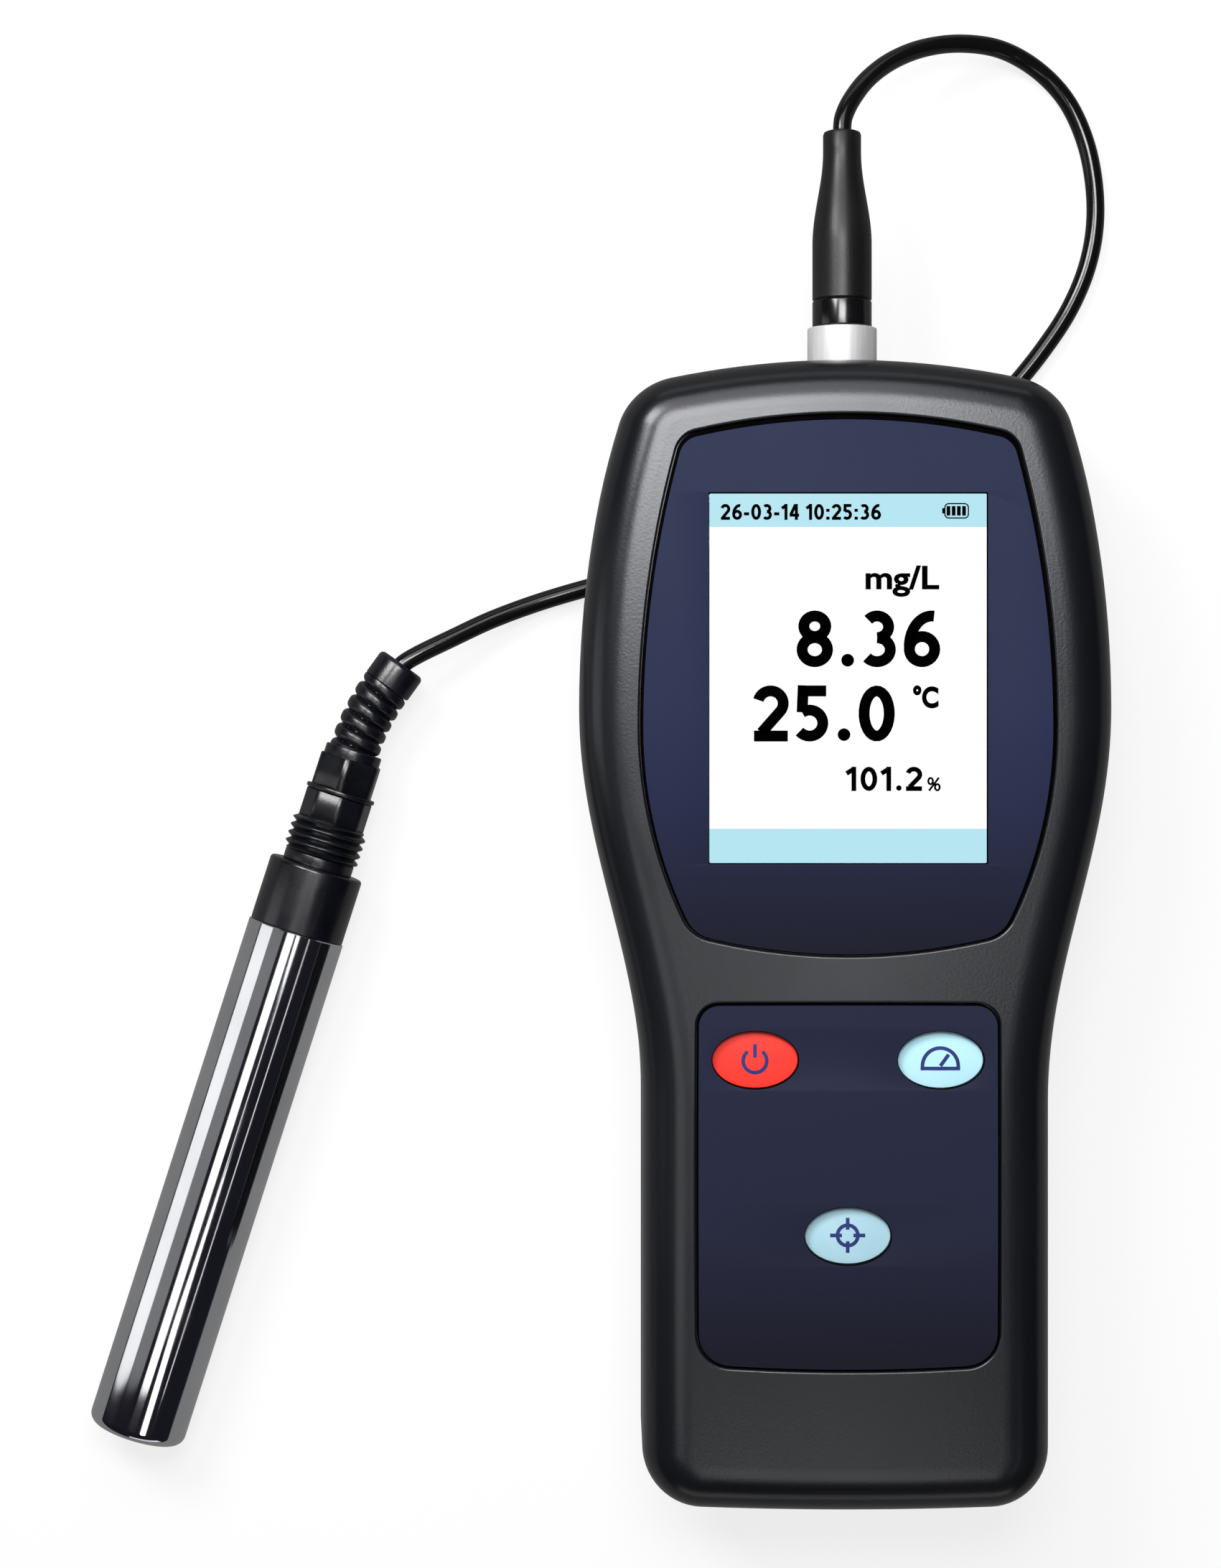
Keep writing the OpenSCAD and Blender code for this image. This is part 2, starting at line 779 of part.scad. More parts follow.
module socket_shell() {
    color(socket_white) on_axis(0) difference() {
        union() {
            translate([0, 0, insert_y]) cylinder(d = barrel_d, h = ring_y - insert_y);
            translate([0, 0, ring_y]) cylinder(d = ring_d, h = ring_len - 0.4);
            translate([0, 0, ring_end - 0.4]) cylinder(d1 = ring_d, d2 = ring_d - 0.8, h = 0.4);
        }
        translate([0, 0, insert_y - 1]) cylinder(d = bore_d, h = 30);
    }
}

module socket_seal() {
    color(rubber_black) on_axis(socket_y) ring(ring_d - 0.4, barrel_d, washer_t);
}

module socket_nut() {
    color("silver") on_axis(nut_seat_y - nut_t) difference() {
        cylinder(d = socket_nut_w / cos(30), h = nut_t, $fn = 6);
        translate([0, 0, -1]) cylinder(d = barrel_d + 2 * hole_fit, h = nut_t + 2);
    }
}

module pin_places() {
    for (i = [0:pins - 1]) rotate([0, 0, 90 + i * 360 / pins]) translate([pin_circle, 0, 0]) children();
}

module socket_insulator() {
    color("#111214") on_axis(insert_y) difference() {
        cylinder(d = bore_d, h = insert_t);
        pin_places() translate([0, 0, -1]) cylinder(d = pin_d, h = insert_t + 2);
    }
}

module socket_pins() {
    color(brass) on_axis(insert_y - 3) pin_places() cylinder(d = pin_d, h = insert_t + 3 + 5);
}

module plug_shell() {
    color(rubber_black) on_axis(plug_y) difference() {
        union() {
            translate([0, 0, -plug_gap - nose_len]) cylinder(d = nose_d, h = plug_gap + nose_len + 1);
            cylinder(d = plug_d, h = grip_len);
        }
        translate([0, 0, -plug_gap - nose_len - 1]) cylinder(d = nose_d - 2 * nose_wall, h = nose_len + 4);
    }
}

module plug_insulator() {
    color("#2a2b2e") on_axis(plug_y - plug_gap - nose_len) difference() {
        cylinder(d = nose_d - 2 * nose_wall, h = nose_len + 3);
        pin_places() translate([0, 0, -1]) cylinder(d = contact_d, h = 6);
    }
}

module plug_contacts() {
    color(brass) on_axis(plug_y - plug_gap - nose_len)
        pin_places() ring(contact_d, pin_d + 2 * pin_fit, 5);
}

// Outline of the boot: straight, then drawn in to the cord, then a short straight lip
function boot_r(t) = mix(plug_d, boot_end_d, (1 - cos(180 * t)) / 2) / 2;

module plug_boot() {
    taper = boot_len - boot_straight - boot_tip;
    color(rubber_black) on_axis(boot_y) rotate_extrude() polygon(concat(
        [[0, 0], [plug_d / 2, 0]],
        [for (i = [0:10]) [boot_r(i / 10), boot_straight + taper * i / 10]],
        [[boot_end_d / 2, boot_len - 0.5], [boot_end_d / 2 - 0.5, boot_len], [0, boot_len]]
    ));
}

// Place and direction on the bent axis of the strain relief, in the probe's own plan
function bend_at(s) =
    let (a = relief_bend * s / relief_len)
    [relief_r * (1 - cos(a)), relief_y + relief_r * sin(a), a];

// A point of the probe's plan, in the casing's plan
function from_probe(p) = [
    probe_nose[0] + p[0] * cos(probe_lean) + p[1] * sin(probe_lean),
    probe_nose[1] - p[0] * sin(probe_lean) + p[1] * cos(probe_lean)
];

TAIL = bend_at(relief_len);
tail_end = from_probe([TAIL[0] + cap_len * sin(TAIL[2]), TAIL[1] + cap_len * cos(TAIL[2])]);

function catmull(a, b, c, d, t) =
    (2 * b + (c - a) * t + (2 * a - 5 * b + 4 * c - d) * t * t
        + (3 * b - a - 3 * c + d) * t * t * t) / 2;

function smooth(p, n) =
    let (last = len(p) - 1)
    concat(
        [for (i = [0:last - 1], k = [0:n - 1])
            catmull(p[max(i - 1, 0)], p[i], p[i + 1], p[min(i + 2, last)], k / n)],
        [p[last]]
    );

module cord() {
    path = smooth(concat([[0, cord_start, plug_z]], ROUTE, [[tail_end[0], tail_end[1], probe_z]]), 2);
    n = len(path);
    tangents = [for (i = [0:n - 1])
        i == 0 ? [0, 1, 0]
        : i == n - 1 ? [sin(probe_lean + relief_bend), cos(probe_lean + relief_bend), 0]
        : path[i + 1] - path[i - 1]];
    color(rubber_black) polyhedron(
        points = [for (i = [0:n - 1])
            let (
                t = tangents[i] / norm(tangents[i]),
                side = cross(t, [0, 0, 1]) / norm(cross(t, [0, 0, 1])),
                up = cross(side, t)
            )
            for (k = [0:cord_sides - 1])
                let (a = 360 * (k + 0.5) / cord_sides)
                path[i] + cord_d / 2 * (cos(a) * side + sin(a) * up)],
        faces = concat(
            [[for (k = [0:cord_sides - 1]) k]],
            [[for (k = [cord_sides - 1:-1:0]) (n - 1) * cord_sides + k]],
            [for (i = [0:n - 2], k = [0:cord_sides - 1])
                let (a = i * cord_sides + k, b = i * cord_sides + (k + 1) % cord_sides)
                each [[a, b + cord_sides, b], [a, a + cord_sides, b + cord_sides]]]
        )
    );
}

module at_probe() {
    translate([probe_nose[0], probe_nose[1], probe_z]) rotate([0, 0, -probe_lean]) children();
}

// Lays a piece drawn along +Z on the probe axis
module along_probe(y) {
    at_probe() translate([0, y, 0]) rotate([-90, 0, 0]) children();
}

module relief_cap() {
    round_r = 0.8;
    color(rubber_black) at_probe() translate([TAIL[0], TAIL[1], 0])
        rotate([0, 0, -TAIL[2]]) rotate([-90, 0, 0]) rotate_extrude() polygon(concat(
            [[0, 0], [relief_d / 2, 0]],
            [for (i = [0:4])
                [relief_d / 2 - round_r * (1 - cos(22.5 * i)), cap_len - round_r * (1 - sin(22.5 * i))]],
            [[0, cap_len]]
        ));
}

// Spiral sleeve: a bent tube whose radius swells along a helix
module strain_relief() {
    sides = 20;
    per_turn = 7;
    n = relief_turns * per_turn;
    core = relief_d / 2 * relief_core;
    rib = relief_d / 2 - core;
    color(rubber_black) at_probe() polyhedron(
        points = [for (i = [0:n], k = [0:sides - 1])
            let (
                p = bend_at(relief_len * i / n),
                phi = 360 * k / sides,
                wave = (1 + cos(360 * i / per_turn - phi)) / 2,
                r = core + rib * wave * (2 - wave)
            )
            [p[0] + r * cos(phi) * cos(p[2]), p[1] - r * cos(phi) * sin(p[2]), r * sin(phi)]],
        faces = concat(
            [[for (k = [sides - 1:-1:0]) k]],
            [[for (k = [0:sides - 1]) n * sides + k]],
            [for (i = [0:n - 1], k = [0:sides - 1])
                let (a = i * sides + k, b = i * sides + (k + 1) % sides)
                each [[a, b, b + sides], [a, b + sides, a + sides]]]
        )
    );
}

module gland_nut() {
    lip = 0.7;
    color(rubber_black) along_probe(nut_y) {
        rotate([0, 0, 30]) cylinder(d = nut_w / cos(30), h = nut_len, $fn = 6);
        cylinder(d = nut_w / cos(30) + 0.2, h = lip);
        translate([0, 0, nut_len - lip]) cylinder(d = nut_ring_d, h = nut_ring_len + lip);
    }
}

module gland_body() {
    color(rubber_black) along_probe(0) {
        translate([0, 0, neck_y - spigot_len + seal_ring_t])
            cylinder(d = neck_d - 1.2, h = spigot_len - seal_ring_t);
        translate([0, 0, neck_y]) cylinder(d = neck_d, h = neck_len);
        translate([0, 0, thread_y]) cylinder(d = thread_d, h = thread_len);
        translate([0, 0, flats_y]) cylinder(d = flats_w / cos(22.5), h = flats_len, $fn = 8);
    }
}

module gland_seal() {
    color("#222327") along_probe(neck_y - spigot_len) ring(neck_d - 1.2, gland_bore, seal_ring_t);
}

module probe_collar() {
    edge = 0.7;
    d = tube_d - 0.4;
    color("#15161c") along_probe(collar_y) difference() {
        union() {
            cylinder(d = d, h = collar_len - edge);
            translate([0, 0, collar_len - edge]) cylinder(d1 = d, d2 = d - 2 * edge, h = edge);
            translate([0, 0, -spigot_len]) cylinder(d = tube_d - 2 * tube_wall, h = spigot_len);
        }
        translate([0, 0, collar_len - spigot_len]) cylinder(d = neck_d - 1.2, h = spigot_len + 1);
    }
}

module probe_tube() {
    r = tube_d / 2;
    inner = r - tube_wall;
    lip = nose_round - tube_wall;
    color(steel) along_probe(0) rotate_extrude() polygon(concat(
        [for (i = [0:6]) [r - nose_round * (1 - sin(15 * i)), nose_round * (1 - cos(15 * i))]],
        [[r, tube_len], [inner, tube_len]],
        [for (i = [6:-1:0]) [inner - lip * (1 - sin(15 * i)), nose_round - lip * cos(15 * i)]]
    ));
}

module sensor_holder() {
    color("#17181b") along_probe(0) difference() {
        union() {
            translate([0, 0, nose_round]) cylinder(d = tube_d - 2 * tube_wall, h = holder_len);
            translate([0, 0, holder_y])
                cylinder(d = tube_d - 2 * nose_round - 0.2, h = nose_round);
        }
        translate([0, 0, -1]) cylinder(d = window_d, h = 1 + window_deep);
        translate([pin_place, 0, -1]) cylinder(d = pin_hole_d, h = 1 + probe_pin_y + probe_pin_len);
    }
}

module sensor_window() {
    color("#5a1f2b") along_probe(window_deep - window_t) cylinder(d = window_d, h = window_t);
}

module temperature_pin() {
    color(steel) along_probe(probe_pin_y)
        translate([pin_place, 0, 0]) cylinder(d = pin_hole_d, h = probe_pin_len);
}

front_shell();
back_shell();
seam_seal();
display_panel();
display_window();
display_glass();
display_frame();
backlight();
display_spacers();
keypad_panel();
key_cap(KEYS[0], key_red);  // power_key
key_cap(KEYS[1], key_blue);  // measure_key
key_cap(KEYS[2], key_blue);  // calibrate_key
key_mat();
key_switches();
main_board();
main_chip();
buzzer();
clock_cell();
board_screws();
case_screws();
battery_tray();
batteries();
battery_springs();
battery_contacts();
battery_door();
door_screw();
socket_shell();
socket_seal();
socket_nut();
socket_insulator();
socket_pins();
plug_shell();
plug_insulator();
plug_contacts();
plug_boot();
cord();
relief_cap();
strain_relief();
gland_nut();
gland_body();
gland_seal();
probe_collar();
probe_tube();
sensor_holder();
sensor_window();
temperature_pin();
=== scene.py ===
from math import atan2, cos, pi, radians, sin, sqrt, tan

import bmesh
import bpy
from mathutils import Matrix, Vector
from mathutils.geometry import tessellate_polygon


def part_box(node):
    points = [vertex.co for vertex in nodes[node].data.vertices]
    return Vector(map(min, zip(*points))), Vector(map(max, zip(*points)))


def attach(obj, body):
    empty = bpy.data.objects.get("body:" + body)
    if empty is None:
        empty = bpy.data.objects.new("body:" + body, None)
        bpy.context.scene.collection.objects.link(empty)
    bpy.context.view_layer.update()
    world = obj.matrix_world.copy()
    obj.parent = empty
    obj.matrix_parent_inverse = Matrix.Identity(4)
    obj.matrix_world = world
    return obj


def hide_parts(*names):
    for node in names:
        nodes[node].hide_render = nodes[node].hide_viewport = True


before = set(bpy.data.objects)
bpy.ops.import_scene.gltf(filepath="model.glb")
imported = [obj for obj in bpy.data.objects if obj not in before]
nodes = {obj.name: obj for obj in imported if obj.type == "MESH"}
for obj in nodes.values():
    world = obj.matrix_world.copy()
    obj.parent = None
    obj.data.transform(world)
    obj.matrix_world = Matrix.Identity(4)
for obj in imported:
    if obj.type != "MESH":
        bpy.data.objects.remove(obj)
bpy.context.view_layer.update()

# Camera: it looks straight down on the meter from half a metre above its front face, which is
# what the bulging rims of the plug show. The focal length makes 8.94 pixels of a millimetre there.
MM = 0.001
IMAGE_HEIGHT = 2184
FOCAL_PIXELS = 4460
SENSOR = 36
EYE = Vector((-37.1, 23, 535)) * MM


def linked(name, data):
    """An object of this data, in the scene."""
    made = bpy.data.objects.new(name, data)
    bpy.context.scene.collection.objects.link(made)
    return made


camera_data = bpy.data.cameras.new("camera")
camera_data.sensor_width = SENSOR
camera_data.lens = FOCAL_PIXELS * SENSOR / IMAGE_HEIGHT
camera = linked("camera", camera_data)
camera.location = EYE
bpy.context.scene.camera = camera
bpy.context.scene.view_settings.view_transform = "Standard"


# Light: one soft box above the connector's end and one up and to the left make the highlight on the
# casing's head, and a wide weak one behind them softens it outwards. Two small ones lift the waist
# and the foot. Lamps and a grey card along the probe draw the streaks on its steel tube, and a low
# wall of light stands far beyond each end of the meter.
TUBE_MIDDLE, TUBE_TURN = Vector((-102, -42, 8)), radians(-17.8)
ACROSS, ALONG = Vector((cos(TUBE_TURN), sin(TUBE_TURN), 0)), Vector((-sin(TUBE_TURN), cos(TUBE_TURN), 0))
CARD_LEN, CARD_GROWTH, CARD_SHIFT = 100, 0.168, 0.156


def area_lamp(name, width, height, radiance, pose):
    """A flat lamp, its size in millimetres, posed by a matrix."""
    lamp = bpy.data.lights.new(name, "AREA")
    lamp.shape = "RECTANGLE"
    lamp.size, lamp.size_y = width * MM, height * MM
    lamp.energy = radiance * pi * lamp.size * lamp.size_y
    linked(name, lamp).matrix_world = pose


def soft_box(name, place, aim, width, height, radiance):
    """A lamp whose width lies across the line to its aim, and its height along the meter."""
    place, aim = Vector(place) * MM, Vector(aim) * MM
    turn = (aim - place).to_track_quat("-Z", "Y").to_matrix()
    area_lamp(name, width, height, radiance, Matrix.Translation(place) @ turn.to_4x4())


def tube_card(name, near, far, reach, radiance):
    """A lamp along the probe that fills the angles from near to far, left of straight up."""
    middle, spread = radians((near + far) / 2), radians(abs(far - near))
    out = -ACROSS * sin(middle) + Vector((0, 0, cos(middle)))
    place = TUBE_MIDDLE + out * reach - ALONG * reach * CARD_SHIFT
    turn = Matrix((ALONG.cross(out), ALONG, out)).transposed()
    area_lamp(name, 2 * reach * tan(spread / 2), CARD_LEN + CARD_GROWTH * reach, radiance,
              Matrix.Translation(place * MM) @ turn.to_4x4())


soft_box("key_light", (-30, 178, 590), (-40, 90, 20), 240, 145, 19)
soft_box("shoulder_light", (-318, 345, 515), (-30, 80, 30), 180, 240, 19)
soft_box("back_light", (-60, 425, 530), (-20, 85, 35), 420, 290, 3)
soft_box("band_light", (44, -40, 600), (0, -7, 35), 120, 60, 4.5)
soft_box("end_light", (40, -290, 580), (0, -85, 35), 115, 190, 2.4)
soft_box("upper_wall", (0, 1100, 260), (0, 0, 20), 1100, 320, 0.8)
soft_box("lower_wall", (0, -1100, 260), (0, 0, 20), 1100, 320, 0.8)
tube_card("overhead_box", -4, 13.5, 560, 1.6)
tube_card("grey_card", 22.5, 50, 650, 0.22)
tube_card("side_box", 51, 86, 700, 1.2)
tube_card("first_line", -17, -15.4, 700, 1.4)
tube_card("second_line", -41, -39.4, 700, 1.4)


# Studio: dark and a little blue around the lamps, as black steel and plastic mirror it, and white
# where the camera looks past the floor.
def add(tree, kind, links=None, **settings):
    """Adds a node to a tree. Links fills its inputs, with values or with other nodes' outputs."""
    made = tree.nodes.new(kind)
    for name, value in settings.items():
        setattr(made, name, value)
    for key, value in (links or {}).items():
        if isinstance(value, bpy.types.NodeSocket):
            tree.links.new(value, made.inputs[key])
        else:
            made.inputs[key].default_value = value
    return made


def srgb(code):
    """Linear colour of a hex code such as 3d3e43."""
    parts = [int(code[i:i + 2], 16) / 255 for i in (0, 2, 4)]
    return [c / 12.92 if c <= 0.04045 else ((c + 0.055) / 1.055) ** 2.4 for c in parts] + [1]


world = bpy.data.worlds.new("studio")
world.use_nodes = True
bpy.context.scene.world = world
sky = world.node_tree
path = add(sky, "ShaderNodeLightPath")
backdrop = add(sky, "ShaderNodeMixRGB", {0: path.outputs["Is Camera Ray"], 1: srgb("1b1b22"),
                                         2: srgb("ffffff")})
sky.links.new(backdrop.outputs[0], sky.nodes["Background"].inputs["Color"])
sky.nodes["Background"].inputs["Strength"].default_value = 1.0

# Floor: a plain white sheet. The camera sees it lit from within, so it stays white behind the
# object, and a fifth of it stays plain so that it keeps the soft shadow. Gloss sees it grey.
FLOOR_SPAN = 3000
FLOOR_GLOW, GLOSS_GLOW = 0.8, 0.24


def cells_of(tree, size, stretch=(1, 1, 1), detail=3):
    """Noise whose cells are size millimetres across, on Object coordinates."""
    place = add(tree, "ShaderNodeTexCoord")
    spread = add(tree, "ShaderNodeMapping", {"Vector": place.outputs["Object"],
                                            "Scale": [s / (size * MM) for s in stretch]})
    noise = add(tree, "ShaderNodeTexNoise", {"Vector": spread.outputs[0], "Scale": 1.0, "Detail": detail})
    return noise.outputs[0]


def inside(material):
    """Node tree and shader of a material."""
    return material.node_tree, material.node_tree.nodes["Principled BSDF"]


def finish(name, colour, roughness, tone=(), wear=(), grain=(), gloss=0.5, **values):
    """A material whose values go straight to its shader. Tone drifts between two colours and wear
    between two roughnesses, each over patches of a size, and grain is a relief of a size and a
    height, in millimetres. Tone and grain may end with a stretch of their patches."""
    made = bpy.data.materials.new(name)
    made.use_nodes = True
    tree, shader = inside(made)
    shader.inputs["Base Color"].default_value = srgb(colour)
    shader.inputs["Roughness"].default_value = roughness
    shader.inputs["Specular IOR Level"].default_value = gloss
    for key, value in values.items():
        shader.inputs[key.replace("_", " ")].default_value = value
    if tone:
        size, dark, light, *stretch = tone
        ramp = add(tree, "ShaderNodeValToRGB", {"Fac": cells_of(tree, size, *stretch)})
        for stop, place, code in zip(ramp.color_ramp.elements, (0.3, 0.7), (dark, light)):
            stop.position, stop.color = place, srgb(code)
        tree.links.new(ramp.outputs[0], shader.inputs["Base Color"])
    if wear:
        size, low, high = wear
        drift = add(tree, "ShaderNodeMapRange", {"Value": cells_of(tree, size), "From Min": 0.3,
                                                 "From Max": 0.7, "To Min": low, "To Max": high})
        tree.links.new(drift.outputs[0], shader.inputs["Roughness"])
    if grain:
        size, height, *stretch = grain
        bump = add(tree, "ShaderNodeBump", {"Height": cells_of(tree, size, *stretch),
                                            "Distance": height * MM, "Strength": 1.0})
        tree.links.new(bump.outputs[0], shader.inputs["Normal"])
    return made


floor_mesh = bpy.data.meshes.new("floor")
half = FLOOR_SPAN * MM
floor_mesh.from_pydata([(-half, -half, 0), (half, -half, 0), (half, half, 0), (-half, half, 0)], [],
                       [(0, 1, 2, 3)])
floor = linked("floor", floor_mesh)
floor.location.z = -0.02 * MM
paper = finish("white_paper_sweep", "f4f4f4", 0.9, gloss=0)
tree, shader = inside(paper)
path = add(tree, "ShaderNodeLightPath")
mirrored = add(tree, "ShaderNodeMath", {0: path.outputs["Is Glossy Ray"],
                                        1: path.outputs["Is Transmission Ray"]}, operation="MAXIMUM")
share = add(tree, "ShaderNodeMath", {0: mirrored.outputs[0], 1: GLOSS_GLOW}, operation="MULTIPLY")
share = add(tree, "ShaderNodeMath", {0: path.outputs["Is Camera Ray"], 1: FLOOR_GLOW, 2: share.outputs[0]},
            operation="MULTIPLY_ADD")
glow = add(tree, "ShaderNodeEmission", {"Color": srgb("ffffff"), "Strength": 1.0})
dark = add(tree, "ShaderNodeBsdfTransparent", {"Color": [0, 0, 0, 1]})
plain = add(tree, "ShaderNodeMixShader", {
    "Fac": mirrored.outputs[0], 1: shader.outputs[0], 2: dark.outputs[0]})
mixed = add(tree, "ShaderNodeMixShader", {
    "Fac": share.outputs[0], 1: plain.outputs[0], 2: glow.outputs[0]})
tree.links.new(mixed.outputs[0], tree.nodes["Material Output"].inputs["Surface"])
floor_mesh.materials.append(paper)


# Cord: a round cable 3 mm thick with a smooth black jacket. It leaves the probe's end cap, passes
# under the raised head, turns over in a loop and goes into the boot of the plug.
CORD_D = 3
CORD_STEPS = 8
BOOT_END = (0, 127.5, 22)
CAP_END = (-71.33, 42.70, 8)
IN_CAP = (-72.4, 41.2, 8)
ROUTE = [
    (0.3, 130, 21.6), (1.8, 133.2, 20.4), (4.6, 137, 18), (8.8, 140.6, 14.8), (14.2, 143.4, 11.2),
    (20.6, 144.9, 7.8), (27.4, 144.6, 5), (33.6, 141.8, 3), (38.6, 137, 2), (41.8, 130.6, 1.6),
    (43.4, 123.4, 1.6), (43.6, 116, 1.6), (42.2, 108.8, 1.6), (39.2, 101.8, 1.6),
    (35, 95.4, 1.6), (30.2, 89.4, 1.6), (24.4, 83, 1.6), (17.4, 77, 1.6), (9, 71.8, 1.6),
    (-0.6, 67.4, 1.6), (-10.8, 63.8, 1.6), (-21, 60.8, 1.6), (-31, 58.2, 1.6), (-40.4, 55.8, 1.8),
    (-49, 53.2, 2.8), (-56.8, 50.2, 4.6), (-63.4, 47, 6.4), (-68.6, 44.4, 7.6)
]


def smooth_line(points, steps):
    """Points of an even curve through the given ones."""
    p = [Vector(q) for q in points]
    last = len(p) - 1
    line = []
    for i in range(last):
        a, b, c, d = p[max(i - 1, 0)], p[i], p[i + 1], p[min(i + 2, last)]
        for k in range(steps):
            t = k / steps
            line.append((2 * b + (c - a) * t + (2 * a - 5 * b + 4 * c - d) * t * t
                         + (3 * b - a - 3 * c + d) * t ** 3) / 2)
    return line + [p[last]]


cord_line = [q * MM for q in smooth_line([IN_CAP, CAP_END] + ROUTE[::-1] + [BOOT_END], CORD_STEPS)]
cord_curve = bpy.data.curves.new("cord", "CURVE")
cord_curve.dimensions = "3D"
cord_curve.bevel_depth = CORD_D / 2 * MM
cord_curve.bevel_resolution = 6
cord_curve.use_fill_caps = True
spline = cord_curve.splines.new("POLY")
spline.points.add(len(cord_line) - 1)
spline.use_smooth = True
for point, place in zip(spline.points, cord_line):
    point.co = (*place, 1)
cord = linked("jacketed_cord", cord_curve)

# Extruded PVC jacket: smooth, so a narrow light runs along its top
jacket = finish("extruded_pvc_jacket", "0e0e0f", 0.14, wear=(9, 0.12, 0.17), grain=(0.9, 0.006),
                gloss=0.45)
cord_curve.materials.append(jacket)
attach(cord, "lead")
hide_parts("cord")


# Front shell: the upper half of the casing, moulded in black ABS with a satin face. Its outline
# is drawn in at the waist, a wide round edge runs all the way round, and two shallow pockets
# take the display panel and the keypad panel.
def mm_box(node):
    """Lowest and highest corner of a CAD node, in millimetres."""
    low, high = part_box(node)
    return low / MM, high / MM


shell_low, shell_high = mm_box("front_shell")
back_high = mm_box("back_shell")[1]
panel_low, panel_high = mm_box("display_panel")
pad_low, pad_high = mm_box("keypad_panel")

HALF_HEAD = shell_high.x
HALF_GRIP = 32.1
CONN_Y, END_Y = shell_high.y, shell_low.y
FRONT_Z = shell_high.z
SEAM_LOW, SEAM_HIGH = back_high.z, shell_low.z
HEAD_Y = CONN_Y - 56.6
WAIST_Y = HEAD_Y - 62
FLANK_R, CONN_R, FOOT_R = 170, 133, 600
HEAD_CORNER, GRIP_CORNER = 11, 9.6
NOSE_W, NOSE_H = 7.9, 9
WALL, FRONT_WALL = 2.4, 3.4
PANEL_FIT = 0.15


def arc(centre, r, start, end, n):
    """n points along an arc, without its last one."""
    turns = [start + (end - start) * i / n for i in range(n)]
    return [(centre[0] + r * cos(t), centre[1] + r * sin(t)) for t in turns]


def quarter(n):
    """1 - cos and 1 - sin of n + 1 angles from 0 to a right angle, for a round edge."""
    turns = [pi / 2 * k / n for k in range(n + 1)]
    return [(1 - cos(t), 1 - sin(t)) for t in turns]


def heading(a, b):
    return atan2(b[1] - a[1], b[0] - a[0])


def nest(a, ra, b, rb, side):
    """Middle of the circle that lies ra from a and rb from b, on the given side."""
    reach = sqrt((b[0] - a[0]) ** 2 + (b[1] - a[1]) ** 2)
    u = ((b[0] - a[0]) / reach, (b[1] - a[1]) / reach)
    m = (reach * reach + ra * ra - rb * rb) / (2 * reach)
    n = side * sqrt(ra * ra - m * m)
    return (a[0] + m * u[0] - n * u[1], a[1] + m * u[1] + n * u[0])


def both_sides(half):
    return half + [(-x, y) for x, y in half[-2:0:-1]]


def casing(d):
    """Outline of the casing, d inside its outer face."""
    h, g = HALF_HEAD - d, HALF_GRIP - d
    flank, conn, foot = (HALF_HEAD - FLANK_R, HEAD_Y), (0, CONN_Y - CONN_R), (0, END_Y + FOOT_R)
    c = nest(flank, FLANK_R - HEAD_CORNER, conn, CONN_R - HEAD_CORNER, 1)
    q_x = HALF_GRIP - GRIP_CORNER
    q = (q_x, foot[1] - sqrt((FOOT_R - GRIP_CORNER) ** 2 - q_x * q_x))
    waist = HEAD_Y - WAIST_Y
    return both_sides(
        arc(foot, FOOT_R - d, -pi / 2, heading(foot, q), 6)
        + arc(q, GRIP_CORNER - d, heading(foot, q), 0, 14)
        + [(g, q[1] + (WAIST_Y - q[1]) * i / 8) for i in range(8)]
        + [(g + (h - g) * (1 - cos(pi * i / 30)) / 2, WAIST_Y + waist * i / 30) for i in range(30)]
        + arc(flank, FLANK_R - d, 0, heading(flank, c), 14)
        + arc(c, HEAD_CORNER - d, heading(flank, c), heading(conn, c), 18)
        + arc(conn, CONN_R - d, heading(conn, c), pi / 2, 10)
        + [(0, CONN_Y - d)])


def barrel(o, d, n=14):
    """Outline of a panel, d inside: o holds half width, widest y, top, bottom, the radii of the
    upper and lower flanks, the top and the bottom, and those of the top and bottom corners."""
    wide, y, top, bottom, flank_up, flank_down, top_r, bottom_r, up, down = o
    up, down = max(up, d + 0.4), max(down, d + 0.4)
    a, b, e, f = (wide - flank_up, y), (wide - flank_down, y), (0, top - top_r), (0, bottom + bottom_r)
    c = nest(a, flank_up - up, e, top_r - up, 1)
    g = nest(b, flank_down - down, f, bottom_r - down, -1)
    return both_sides(
        arc(f, bottom_r - d, -pi / 2, heading(f, g), n) + arc(g, down - d, heading(f, g), heading(b, g), n)
        + arc(b, flank_down - d, heading(b, g), 0, n) + arc(a, flank_up - d, 0, heading(a, c), n)
        + arc(c, up - d, heading(a, c), heading(e, c), n)
        + arc(e, top_r - d, heading(e, c), pi / 2, n) + [(0, top - d)])


PANEL_GROW, PAD_GROW = 0.4, 0.25
DISPLAY_OUTLINE = (panel_high.x + PANEL_FIT + PANEL_GROW, panel_low.y + 36 - PANEL_FIT,
                   panel_high.y + PANEL_FIT + PANEL_GROW, panel_low.y - PANEL_FIT, 165, 70, 107, 95, 4.2, 6)
KEYPAD_OUTLINE = (pad_high.x + PANEL_FIT + PAD_GROW, pad_low.y + 30 - PANEL_FIT, pad_high.y + PANEL_FIT,
                  pad_low.y - PANEL_FIT, 4000, 4000, 4000, 300, 3.6, 5.5)


